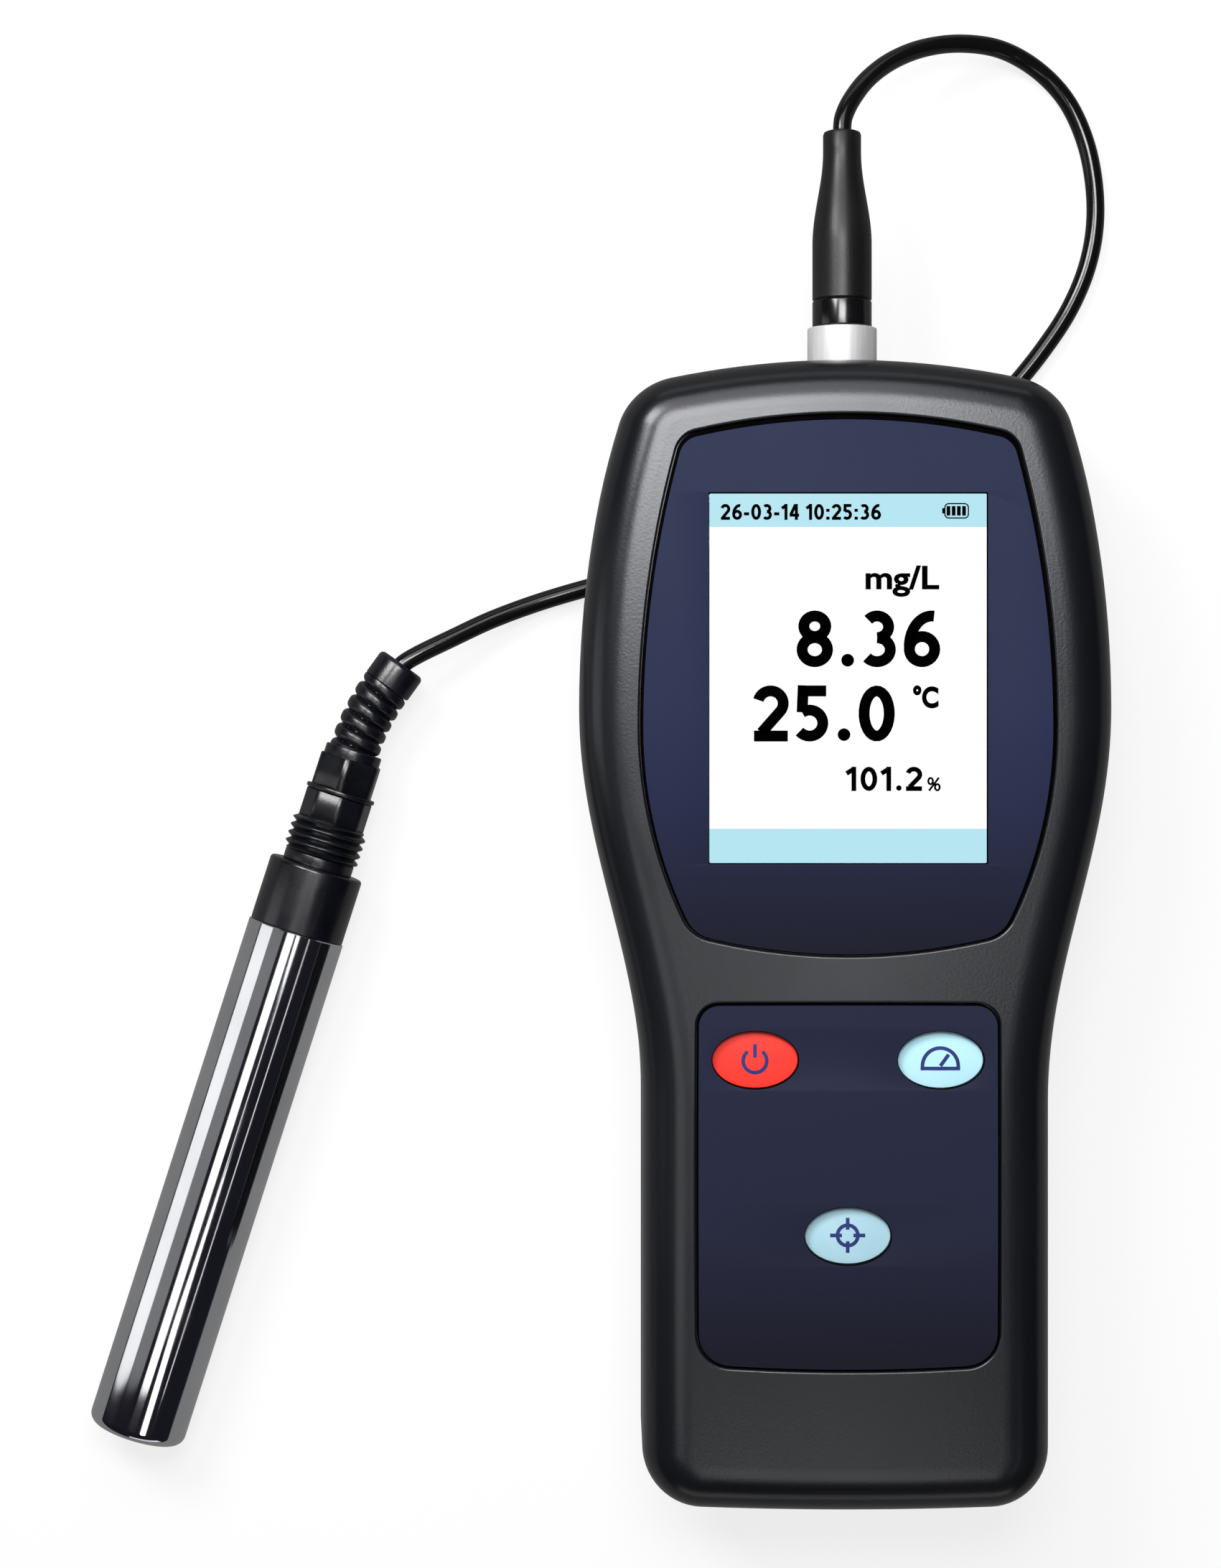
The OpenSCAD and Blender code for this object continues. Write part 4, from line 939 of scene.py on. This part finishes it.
piece("display_cover", panel_skin(DISPLAY_OUTLINE, [lambda d: screen_outline(0.1 + d)], DISPLAY_SHADE_LINE),
      [navy, black_edge_and_shade], "meter", ["display_panel"], smooth=50)

# Lit display: the picture area of a small colour panel behind clear glass. It glows white, with a
# pale blue bar above and below, and black figures on it.
BAR_TOP, BAR_FOOT = 5.2, 5.3
lit = finish("lit_display", "000000", 0.35, wear=(15, 0.3, 0.4), gloss=0.05,
             Emission_Strength=1.0)
tree, shader = inside(lit)
place = add(tree, "ShaderNodeTexCoord")
split = add(tree, "ShaderNodeSeparateXYZ", {"Vector": place.outputs["Object"]})
upper = add(tree, "ShaderNodeMath", {0: split.outputs["Y"], 1: (SCREEN_Y + SCREEN_L / 2 - BAR_TOP) * MM},
            operation="GREATER_THAN")
lower = add(tree, "ShaderNodeMath", {0: split.outputs["Y"], 1: (SCREEN_Y - SCREEN_L / 2 + BAR_FOOT) * MM},
            operation="LESS_THAN")
bars = add(tree, "ShaderNodeMath", {0: upper.outputs[0], 1: lower.outputs[0]}, operation="MAXIMUM")
ramp = add(tree, "ShaderNodeValToRGB", {"Fac": bars.outputs[0]})
ramp.color_ramp.interpolation = "CONSTANT"
ramp.color_ramp.elements[0].color = srgb("ffffff")
ramp.color_ramp.elements[1].position = 0.5
ramp.color_ramp.elements[1].color = srgb("b5e5f1")
tree.links.new(ramp.outputs[0], shader.inputs["Emission Color"])
piece("lit_window", plate(lambda d: screen_outline(-d), [
    (0.05, window_low.z), (0, window_low.z + 0.05), (0, window_high.z - 0.06), (0.06, window_high.z)]),
    [lit], "meter", ["display_window"])

ink_black = finish("display_figures", "010102", 0.6, tone=(6, "000001", "030304"), gloss=0.0)
figures = Skin()
LEFT, TOP = -SCREEN_W / 2, SCREEN_Y + SCREEN_L / 2


def figure(words, x0, x1, y0, y1, weight=0.0):
    """Text fitted to a box of the screen, in millimetres from its left and top edges."""
    font = bpy.data.curves.new("figures", "FONT")
    font.body = words
    font.extrude = 0.01
    font.offset = weight
    holder = linked("figures", font)
    mesh = evaluated(holder)
    xs, ys = [v.co.x for v in mesh.vertices], [v.co.y for v in mesh.vertices]
    first = len(figures.points)
    for v in mesh.vertices:
        u = (v.co.x - min(xs)) / (max(xs) - min(xs))
        w = (v.co.y - min(ys)) / (max(ys) - min(ys))
        z = window_high.z - 0.02 + (0.04 if v.co.z > 0 else 0)
        figures.points.append((LEFT + x0 + (x1 - x0) * u, TOP - y1 + (y1 - y0) * w, z))
    for f in mesh.polygons:
        figures.face([first + i for i in f.vertices])
    bpy.data.objects.remove(holder)


def stroke(skin, middle, line, width, height):
    """A printed stroke along a line of points from a middle. Height gives the face it lies on."""
    p = [Vector(q) for q in line]
    sides = []
    for i, q in enumerate(p):
        along = (p[min(i + 1, len(p) - 1)] - p[max(i - 1, 0)]).normalized()
        off = Vector((-along.y, along.x)) * width / 2
        for side in (q + off, q - off):
            for lift in (-0.05, 0.015):
                sides.append((middle[0] + side.x, middle[1] + side.y, height(side.x, side.y) + lift))
    first = skin.ring(sides)
    skin.solid([(a, a + 1, a + 3, a + 2) for a in first[::4]])


def round_line(x, y, rx, ry, start, end, n=28):
    turns = [radians(start + (end - start) * k / n) for k in range(n + 1)]
    return [(x + rx * cos(t), y + ry * sin(t)) for t in turns]


def straight(x0, y0, x1, y1, n=6):
    return [(x0 + (x1 - x0) * k / n, y0 + (y1 - y0) * k / n) for k in range(n + 1)]


# Each sign is 1 high: its strokes' middle lines, then its width
PEN = 0.195
SIGN_GAP = 0.11
GLYPHS = {
    "0": ([round_line(0.32, 0.5, 0.22, 0.4, 0, 370)], 0.64),
    "1": ([straight(0.3, 0, 0.3, 1), straight(0.03, 0.72, 0.29, 0.9)], 0.42),
    "2": ([round_line(0.3, 0.68, 0.22, 0.22, 165, -38) + [(0.14, 0.16)],
           straight(0.01, 0.1, 0.6, 0.1)], 0.62),
    "3": ([round_line(0.26, 0.71, 0.2, 0.19, 140, -90), round_line(0.26, 0.31, 0.23, 0.21, 90, -140)], 0.6),
    "4": ([straight(0.44, 0, 0.44, 1), straight(0.01, 0.3, 0.62, 0.3),
           straight(0.38, 0.95, 0.07, 0.3)], 0.64),
    "5": ([straight(0.06, 0.9, 0.54, 0.9), straight(0.14, 1, 0.12, 0.52),
           round_line(0.25, 0.33, 0.23, 0.23, 125, -140)], 0.6),
    "6": ([round_line(0.33, 0.32, 0.22, 0.22, 0, 370), round_line(0.5, 0.36, 0.39, 0.54, 180, 84)], 0.64),
    "8": ([round_line(0.32, 0.72, 0.19, 0.18, 0, 370), round_line(0.32, 0.31, 0.22, 0.21, 0, 370)], 0.64),
    ".": ([round_line(0.14, 0.125, 0.015, 0.015, 0, 380, 20)], 0.28),
    "-": ([straight(0.02, 0.38, 0.36, 0.38)], 0.38),
    ":": ([straight(0.03, 0.11, 0.25, 0.11), straight(0.03, 0.6, 0.25, 0.6)], 0.28),
    " ": ([], 0.2)
}


def drawn(line, width, x=LEFT, y=TOP):
    """A stroke printed on the screen, its line measured from a place on it."""
    stroke(figures, (x, y), line, width, lambda u, v: window_high.z)


def number(words, x0, x1, y0, y1):
    """Plain bold figures fitted to a box of the screen, in millimetres from its left and top edges."""
    high = y1 - y0
    wide = (sum(GLYPHS[c][1] for c in words) + SIGN_GAP * (len(words) - 1)) * high
    squeeze, x = (x1 - x0) / wide, x0
    for c in words:
        lines, w = GLYPHS[c]
        for line in lines:
            drawn([(u * high * squeeze, v * high) for u, v in line], PEN * high, LEFT + x, TOP - y1)
        x += (w + SIGN_GAP) * high * squeeze


number("26-03-14 10:25:36", 1.7, 26.7, 1.6, 4.1)
figure("mg/L", 24.3, 35.8, 11.2, 16.1, 0.025)
number("8.36", 13.5, 35.9, 18.2, 27.1)
number("25.0", 6.8, 28.9, 29.9, 38.7)
figure("°C", 31.7, 35.7, 29.9, 33.5, 0.045)
number("101.2", 21.2, 33.2, 42.6, 46.4)
percent = (round_line(34.45, -44.85, 0.36, 0.48, 0, 370), round_line(35.5, -45.8, 0.36, 0.48, 0, 370),
           straight(34.2, -46.35, 35.75, -44.3))
battery_tip = straight(36.42, -2.25, 36.42, -3.1)
for line in (*percent, battery_tip):
    drawn(line, 0.32)
for x in (37.24, 38.05, 38.86, 39.67):
    drawn(straight(x, -1.93, x, -3.43), 0.58)
battery_frame = rounded_box(36.68, 40.35, -3.8, -1.56, 0.6)
drawn(battery_frame + battery_frame[:2], 0.2)
piece("screen_figures", figures, [ink_black], "meter")

# Keypad: a thinner printed plate with three oval openings. The keys stand on a silicone mat, with
# crowned tops a little below the plate's face, and a printed sign each.
KEYS = {"power_key": (-14.5, -20.1), "measure_key": (14.5, -20.1), "calibrate_key": (0, -47.6)}
KEY_W, KEY_H = 13.3, 8.8
key_low, key_high = mm_box("power_key")
FLANGE_W, FLANGE_H, FLANGE_EDGE = 0.9, 0.7, 0.1
KEY_GROW, SUNK, CROWN = 0.04, 0.85, 0.25
OVAL_SIDES = 72


def oval(middle, d, n=OVAL_SIDES):
    """Outline of a key, d larger."""
    return [(middle[0] + (KEY_W / 2 + d) * cos(2 * pi * k / n),
             middle[1] + (KEY_H / 2 + d) * sin(2 * pi * k / n)) for k in range(n)]


keypad = panel_skin(KEYPAD_OUTLINE, [lambda d, m=m: oval(m, 0.08 + d) for m in KEYS.values()], KEYPAD_SHADE_LINE)
piece("keypad_cover", keypad, [navy, black_edge_and_shade], "meter", ["keypad_panel"], smooth=50)

sign_ink = finish("printed_navy_sign", "263170", 0.4, tone=(2, "232d69", "2a3578"),
                  gloss=0.2)


def key_top(x, y):
    """Height of a key's crowned top at a place from its middle."""
    return key_high.z - SUNK - CROWN * ((x / KEY_W * 2) ** 2 + (y / KEY_H * 2) ** 2)


def key_skin(middle):
    made = Skin()
    slim = FLANGE_W - FLANGE_EDGE
    rings = [made.ring(oval(middle, d), key_low.z + rise) for d, rise in (
        (slim, 0), (FLANGE_W, FLANGE_EDGE), (FLANGE_W, FLANGE_H - FLANGE_EDGE), (slim, FLANGE_H),
        (KEY_GROW, FLANGE_H))]
    for share in (1.012, 1, 0.96, 0.85, 0.7, 0.5, 0.25):
        rim = 0.08 if share > 1 else 0
        rings.append(made.ring([(middle[0] + x, middle[1] + y, key_top(x, y) - rim)
                                for x, y in oval((0, 0), (share - 1) * KEY_H / 2)]))
    made.bands(rings)
    made.face(rings[0])
    centre = made.ring([(*middle, key_top(0, 0))])
    made.band(rings[-1], centre * OVAL_SIDES)
    return made


SIGNS = {
    "power_key": [round_line(0, -0.2, 1.85, 1.85, 128, 412), straight(0, 0.3, 0, 2.4)],
    "measure_key": [round_line(0, -1.0, 2.8, 2.8, -5, 185), straight(-3.1, -1.4, 3.1, -1.4),
                    straight(0, -1.0, 1.3, 0.8)],
    "calibrate_key": [round_line(0, 0, 1.6, 1.6, 0, 370), straight(0, 0.9, 0, 2.75),
                      straight(0, -0.9, 0, -2.75), straight(0.9, 0, 2.75, 0), straight(-0.9, 0, -2.75, 0)]
}
# The measure and calibrate keys are one blue rubber; the calibrate key's darker copy of it is painted shade
KEY_RUBBER = {"power_key": ("red_key", "red", "f7362b", "f2332a", "fb392d"),
              "measure_key": ("blue_key", "pale_blue", "b4e3ef", "b0e0ed", "b7e6f2"),
              "calibrate_key": ("blue_key", "blue_with_painted_shade", "a6ccda", "a2c8d7", "aad0dd")}
for key, middle in KEYS.items():
    slot, shade, colour, dim, bright = KEY_RUBBER[key]
    moulded = finish("moulded_silicone_" + shade, colour, 0.45, tone=(6, dim, bright),
                     grain=(0.35, 0.008), gloss=0.2)
    piece(key + "_cap", key_skin(middle), [moulded], key, [key])
    sign = Skin()
    for line in SIGNS[key]:
        stroke(sign, middle, line, 0.58, key_top)
    piece(key + "_sign", sign, [sign_ink], key)

# Inside of the meter: the silicone mat and switches under the keys, the board with its parts, and
# the display's frame. They keep the shapes of the model and get their own finishes here.
silicone = finish("translucent_silicone", "8a8d92", 0.5, tone=(8, "83868b", "919499"), grain=(0.5, 0.01),
                  Subsurface_Weight=0.15)
dress("key_mat", silicone)
switch_black = finish("moulded_nylon", "303236", 0.45, tone=(2, "2b2d31", "36383c"), grain=(0.3, 0.02))
dress("key_switches", switch_black)
resist = finish("green_solder_resist", "1e6b45", 0.28, wear=(5, 0.24, 0.34), Coat_Weight=0.3)
tree, shader = inside(resist)
place = add(tree, "ShaderNodeTexCoord")
tracks = add(tree, "ShaderNodeTexBrick", {
    "Vector": place.outputs["Object"], "Color1": srgb("1d6843"), "Color2": srgb("23764d"),
    "Mortar": srgb("175638"), "Scale": 1.0, "Mortar Size": 0.0002, "Brick Width": 0.006,
    "Row Height": 0.0012})
tree.links.new(tracks.outputs["Color"], shader.inputs["Base Color"])
dress("main_board", resist)
epoxy = finish("moulded_epoxy", "202124", 0.55, tone=(1.5, "1c1d20", "26272a"), grain=(0.2, 0.01),
               gloss=0.35)
dress("main_chip", epoxy)
dress("buzzer", epoxy)
dress("clock_cell", nickel)
tin = finish("tinned_sheet_steel", "b3b5b6", 0.34, tone=(4, "a6a8aa", "bfc1c2", (0.3, 1, 1)),
             grain=(0.4, 0.01, (0.2, 1, 1)), Metallic=1.0)
dress("display_frame", tin)
dress("display_spacers", brass)
glass = finish("display_glass", "9fb4bd", 0.08, tone=(20, "9ab0b9", "a6bac2"), IOR=1.52, Coat_Weight=0.2)
dress("display_glass", glass)
diffuser = finish("opal_polycarbonate", "f2f3f1", 0.5, tone=(10, "eeefed", "f7f8f6"),
                  Subsurface_Weight=0.2)
dress("backlight", diffuser)

# Socket: a turned brass barrel with a satin nickel coat. A nut clamps it to the end wall of the
# casing, and five gold pins stand in its black insulator.
PLUG_Z = 22
AT_SOCKET = Matrix.Translation((0, 0, PLUG_Z)) @ Matrix.Rotation(-pi / 2, 4, "X")
socket_low, socket_high = mm_box("socket_shell")
SOCKET_Y, SOCKET_END = socket_low.y, socket_high.y
RING_Y = SOCKET_END - 3.8
RING_R, BARREL_R, BORE_R = 5.55, 4.75, 4

satin_nickel = finish("satin_nickel", "d9d8d8", 0.5, tone=(1.6, "cdccce", "e2e1e1", (1, 0.12, 1)),
                      grain=(0.35, 0.012, (1, 0.1, 1)), Metallic=0.45)
SKIRT_Y, SEAT_R = CONN_Y - 1.6, RING_R - 0.5
piece("socket_barrel", turned(soften([
    (BORE_R, SOCKET_Y), (BARREL_R, SOCKET_Y), (BARREL_R, RING_Y), (SEAT_R, RING_Y), (SEAT_R, SKIRT_Y),
    (RING_R, SKIRT_Y), (RING_R, SOCKET_END), (BORE_R, SOCKET_END)], 0.2, 4, True), 96, closed=True),
    [satin_nickel], "meter", ["socket_shell"], AT_SOCKET)
piece("socket_gasket", turned(soften([
    (BARREL_R, RING_Y - 0.4), (SEAT_R, RING_Y - 0.4), (SEAT_R, RING_Y), (BARREL_R, RING_Y)],
    0.1, 2, True), 64, closed=True), [rubber], "meter", ["socket_seal"], AT_SOCKET)
dress("socket_nut", nickel)
dress("socket_insulator", switch_black)

gold = finish("gold_plated_brass", "d8b765", 0.18, tone=(1, "cfae5c", "e0c072"), Metallic=1.0)
pin_low, pin_high = mm_box("socket_pins")
pin = loose("pin", turned(soften([(0, 0), (0.5, 0), (0.5, pin_high.y - pin_low.y - 0.5),
                                  (0, pin_high.y - pin_low.y)], 0.3), 20))
pin_spots = [(2 * cos(pi / 2 + 2 * pi * k / 5), pin_low.y, PLUG_Z - 2 * sin(pi / 2 + 2 * pi * k / 5))
             for k in range(5)]
repeat("contact_pins", pin_spots, [(-pi / 2, 0, 0)] * 5, gold, "meter", ["socket_pins"],
       {"Part": pin})
wall_bore = post_skin(0, 0, [(BARREL_R + 0.1, y) for y in (80, 93)], 72)
front_casing = bpy.data.objects["front_casing"]
cut(front_casing, [lay(wall_bore, AT_SOCKET)])

# Plug: a short glossy grip over a metal nose, then a long boot of satin rubber that is drawn in
# to the cord. It pulls straight off the socket with the lead.
shell_low, shell_high = mm_box("plug_shell")
boot_low, boot_high = mm_box("plug_boot")
NOSE_Y, GRIP_END = shell_low.y, shell_high.y
GRIP_Y = SOCKET_END + 0.1
GRIP_R, PLUG_NOSE_R, PLUG_BORE_R = 4.75, 3.9, 3.3
BOOT_TIP_R, BOOT_STRAIGHT, BOOT_TIP = 3.05, 9, 3.2

gloss_black = finish("polished_black_nylon", "0b0b0d", 0.16, tone=(5, "09090a", "0e0e10"),
                     wear=(4, 0.13, 0.22), gloss=0.6)
piece("plug_grip", turned(soften([
    (PLUG_BORE_R, NOSE_Y), (PLUG_NOSE_R, NOSE_Y), (PLUG_NOSE_R, GRIP_Y), (GRIP_R, GRIP_Y),
    (GRIP_R, GRIP_END), (PLUG_BORE_R, GRIP_END)], 0.3, 4, True), 96, closed=True), [gloss_black],
    "lead", ["plug_shell"], AT_SOCKET)
dress("plug_insulator", switch_black)
dress("plug_contacts", gold)

boot_line = [(0, boot_low.y), (GRIP_R - 0.3, boot_low.y), (GRIP_R, boot_low.y + 0.3)]
taper = boot_high.y - boot_low.y - BOOT_STRAIGHT - BOOT_TIP
for k in range(29):
    boot_line.append(((GRIP_R + BOOT_TIP_R) / 2 + (GRIP_R - BOOT_TIP_R) / 2 * cos(pi * k / 28),
                      boot_low.y + BOOT_STRAIGHT + taper * k / 28))
boot_line += [(BOOT_TIP_R, boot_high.y - 0.6), (BOOT_TIP_R - 0.18, boot_high.y - 0.18),
              (BOOT_TIP_R - 0.6, boot_high.y), (1.5, boot_high.y), (0, boot_high.y - 0.3)]
satin_rubber = finish("moulded_satin_rubber", "131314", 0.36, tone=(7, "111112", "161617"),
                      wear=(6, 0.33, 0.4), grain=(0.35, 0.015), gloss=0.35)
piece("plug_sleeve", turned(boot_line, 72), [satin_rubber], "lead", ["plug_boot"], AT_SOCKET)

# Strain relief of the probe: a smooth cap over a spiral sleeve, both of the same black nylon as
# the gland. The sleeve bends a little towards the meter, as the cord pulls it.
PROBE_NOSE = (-115.3, -83.7)
PROBE_LEAN, PROBE_Z = radians(17.8), 8
TUBE_LEN, COLLAR_LEN = 86.7, 11
RELIEF_Y, RELIEF_LEN, RELIEF_R = 117.9, 11.8, 4.15
RELIEF_BEND, RELIEF_TURNS, CAP_LEN = radians(18), 5, 4.5
PROBE = Matrix.Translation((*PROBE_NOSE, PROBE_Z)) @ Matrix.Rotation(-PROBE_LEAN, 4, "Z")
AT_PROBE = PROBE @ Matrix.Rotation(-pi / 2, 4, "X")
BEND_R = RELIEF_LEN / RELIEF_BEND


def bend_at(s):
    """Place across and along the probe, and direction, at s along the sleeve's bent axis."""
    a = RELIEF_BEND * s / RELIEF_LEN
    return BEND_R * (1 - cos(a)), RELIEF_Y + BEND_R * sin(a), a


nylon_black = finish("moulded_black_nylon", "090a10", 0.27, tone=(5, "07080d", "0c0d14"),
                     wear=(4, 0.22, 0.34), grain=(0.35, 0.012), gloss=0.6)
sleeve = Skin()
SIDES, STEPS = 64, 120
core = RELIEF_R * 0.8
loops = []
for i in range(STEPS + 1):
    x, y, a = bend_at(RELIEF_LEN * i / STEPS)
    ring = []
    for k in range(SIDES):
        phi = 2 * pi * k / SIDES
        wave = abs(sin(pi * RELIEF_TURNS * i / STEPS - phi / 2))
        r = core + (RELIEF_R - core) * wave * (2 - wave)
        ring.append((x + r * cos(phi) * cos(a), y - r * cos(phi) * sin(a), r * sin(phi)))
    loops.append(sleeve.ring(ring))
piece("spiral_sleeve", sleeve.solid(loops), [nylon_black], "lead", ["strain_relief"], PROBE)

x, y, a = bend_at(RELIEF_LEN)
AT_CAP = (PROBE @ Matrix.Translation((x, y, 0)) @ Matrix.Rotation(-a, 4, "Z")
          @ Matrix.Rotation(-pi / 2, 4, "X"))
CAP_ROUND = 0.8
cap = [(0, 0), (RELIEF_R - 0.2, 0), (RELIEF_R, 0.2)]
cap += [(RELIEF_R - CAP_ROUND * c, CAP_LEN - CAP_ROUND * s) for c, s in quarter(6)]
cap += [(1.9, CAP_LEN), (1.5, CAP_LEN - 0.3), (0, CAP_LEN - 0.3)]
piece("relief_end", turned(cap, 64), [nylon_black], "lead", ["relief_cap"], AT_CAP)

# Gland: the nut with its six flats, lip and ring, and the body with eight flats, a rounded thread
# and a smooth neck, moulded in black nylon. The nut clamps the cord's seal.
FLATS_Y, NUT_Y, THREAD_Y, NECK_Y = 105.3, 110.1, 99.3, 97.7
NUT_LEN, NUT_W, NUT_LIP, NUT_RING_R, NUT_SHOULDER_R = 6.2, 9.8, 0.7, 5.75, 4.7
SPIGOT_Y, SPIGOT_R, NECK_R, FLATS_W = 89.9, 5.2, 5.8, 10.4


def flatted(sides, width, turn, round_r, n=96):
    """Function from inset to the outline of a bar with flats, its corners rounded."""
    def outline(d):
        points = []
        corner = width / 2 / cos(pi / sides) - round_r - d
        for k in range(n):
            t = 2 * pi * k / n
            off = (t - turn + pi / sides) % (2 * pi / sides) - pi / sides
            r = min((width / 2 - d) / cos(off), corner)
            points.append((r * cos(t), r * sin(t)))
        return points
    return outline


nut = Skin()
plate(flatted(6, NUT_W, 0, 0.2), [
    (0.2, NUT_Y + 0.3), (0, NUT_Y + NUT_LIP), (0, NUT_Y + NUT_LEN - 0.25), (0.1, NUT_Y + NUT_LEN - 0.08),
    (0.3, NUT_Y + NUT_LEN)], nut)
for r, low, high, soft in ((NUT_RING_R, NUT_Y, NUT_Y + NUT_LIP, 0.22),
                           (NUT_SHOULDER_R, NUT_Y + NUT_LEN - NUT_LIP, RELIEF_Y, 0.3)):
    turned(soften([(0, low), (r, low), (r, high), (0, high)], soft), 72, skin=nut)
piece("gland_cap_nut", nut, [nylon_black], "lead", ["gland_nut"], AT_PROBE)

body = Skin()
for r, low, high in ((SPIGOT_R, SPIGOT_Y, NECK_Y + 0.2), (NECK_R, NECK_Y, THREAD_Y + 0.2)):
    turned(soften([(0, low), (r, low), (r, high), (0, high)], 0.2), 72, skin=body)
plate(flatted(8, FLATS_W, pi / 8 + radians(10), 0.1), [
    (0.25, FLATS_Y - 0.3), (0, FLATS_Y), (0, NUT_Y - 0.25), (0.1, NUT_Y - 0.08), (0.3, NUT_Y)], body)
THREAD_R, THREAD_DEEP, PITCH, PER_TURN = 6.3, 0.75, 1.35, 64
count = int(PER_TURN * (FLATS_Y - THREAD_Y) / PITCH)
rows = 9
thread = []
for i in range(-PER_TURN, count + PER_TURN + 1):
    t = 2 * pi * i / PER_TURN
    row = []
    for k in range(rows):
        z = THREAD_Y + PITCH * (i / PER_TURN + k / (rows - 1))
        wave = 0.5 - 0.5 * cos(2 * pi * k / (rows - 1))
        run_in = min(max((z - THREAD_Y) / 0.5, 0), max((FLATS_Y - z) / 0.5, 0), 1)
        r = THREAD_R - THREAD_DEEP + THREAD_DEEP * wave ** 0.7 * run_in
        z = min(max(z, THREAD_Y), FLATS_Y)
        row.append((r * cos(t), r * sin(t), z))
    thread.append(body.ring(row))
for a, b in zip(thread, thread[1:]):
    body.band(a, b, closed=False)
for y in (THREAD_Y, FLATS_Y):
    turned([(0, y), (THREAD_R - THREAD_DEEP, y)], 64, skin=body)
piece("gland_stem", body, [nylon_black], "lead", ["gland_body"], AT_PROBE, smooth=50)
dress("gland_seal", rubber)

# Collar: a turned sleeve of black acetal over the end of the steel tube, with a broken edge.
COLLAR_R, COLLAR_BORE_R, COLLAR_FOOT_R, COLLAR_DEEP = 7.8, 5.2, 7.2, 9
acetal = finish("turned_black_acetal", "07080f", 0.26, tone=(6, "06070c", "0a0b13"), wear=(5, 0.22, 0.32),
                grain=(0.3, 0.012), gloss=0.7)
piece("collar_sleeve", turned(soften([
    (COLLAR_BORE_R, TUBE_LEN + 2), (COLLAR_BORE_R, TUBE_LEN - COLLAR_DEEP),
    (COLLAR_FOOT_R, TUBE_LEN - COLLAR_DEEP), (COLLAR_FOOT_R, TUBE_LEN), (COLLAR_R, TUBE_LEN),
    (COLLAR_R, TUBE_LEN + COLLAR_LEN - 0.35), (COLLAR_R - 0.35, TUBE_LEN + COLLAR_LEN),
    (COLLAR_BORE_R, TUBE_LEN + COLLAR_LEN)], 0.3, 4, True), 96, closed=True), [acetal], "lead",
    ["probe_collar"], AT_PROBE)

# Probe tube: drawn stainless steel, polished, its nose rolled in. The sensor holder, the sensing
# window and the temperature pin sit in the open nose.
TUBE_R, TUBE_WALL, NOSE_ROUND = 8, 0.8, 1.8
LIP = NOSE_ROUND - TUBE_WALL
WINDOW_R, WINDOW_SEAT = 4, 2
HOLDER_NECK_R, HOLDER_STEP, HOLDER_R, HOLDER_END = 6.1, 2.1, 7.2, 15.8
THERMAL_R, THERMAL_END, THERMAL_X = 0.8, 5.3, 4.9
steel = finish("polished_stainless_steel", "dcdde0", 0.07, tone=(9, "d8d9dc", "e2e3e6", (1, 1, 0.2)),
               wear=(12, 0.05, 0.1), Metallic=1.0)
line = [(TUBE_R - NOSE_ROUND * s, NOSE_ROUND * c) for c, s in quarter(12)]
line += [(TUBE_R, 20), (TUBE_R, 40), (TUBE_R, 60), (TUBE_R, TUBE_LEN - 0.15), (TUBE_R - 0.15, TUBE_LEN),
         (TUBE_R - TUBE_WALL, TUBE_LEN)]
line += [(TUBE_R - TUBE_WALL - LIP * s, TUBE_WALL + LIP * c) for c, s in quarter(12)[::-1]]
piece("steel_tube", turned(line, 128, closed=True), [steel], "lead", ["probe_tube"], AT_PROBE)
piece("sensor_carrier", turned(soften([
    (0, WINDOW_SEAT), (WINDOW_R, WINDOW_SEAT), (WINDOW_R, 0.3), (HOLDER_NECK_R, 0.3),
    (HOLDER_NECK_R, HOLDER_STEP), (HOLDER_R, HOLDER_STEP), (HOLDER_R, HOLDER_END), (0, HOLDER_END)],
    0.2), 72), [nylon_black], "lead", ["sensor_holder"], AT_PROBE)
window = finish("sensing_film", "5a1f2b", 0.4, tone=(1, "501a25", "642432"), grain=(0.3, 0.01),
                Coat_Weight=0.3)
piece("sensing_disc", turned(soften([(0, 0.4), (WINDOW_R, 0.4), (WINDOW_R, WINDOW_SEAT),
                                     (0, WINDOW_SEAT)], 0.15), 48),
      [window], "lead", ["sensor_window"], AT_PROBE)
piece("thermal_pin", turned(soften([(0, 0.1), (THERMAL_R, 0.1), (THERMAL_R, THERMAL_END),
                                    (0, THERMAL_END)], 0.4), 24),
      [steel], "lead", ["temperature_pin"], AT_PROBE @ Matrix.Translation((THERMAL_X, 0, 0)))
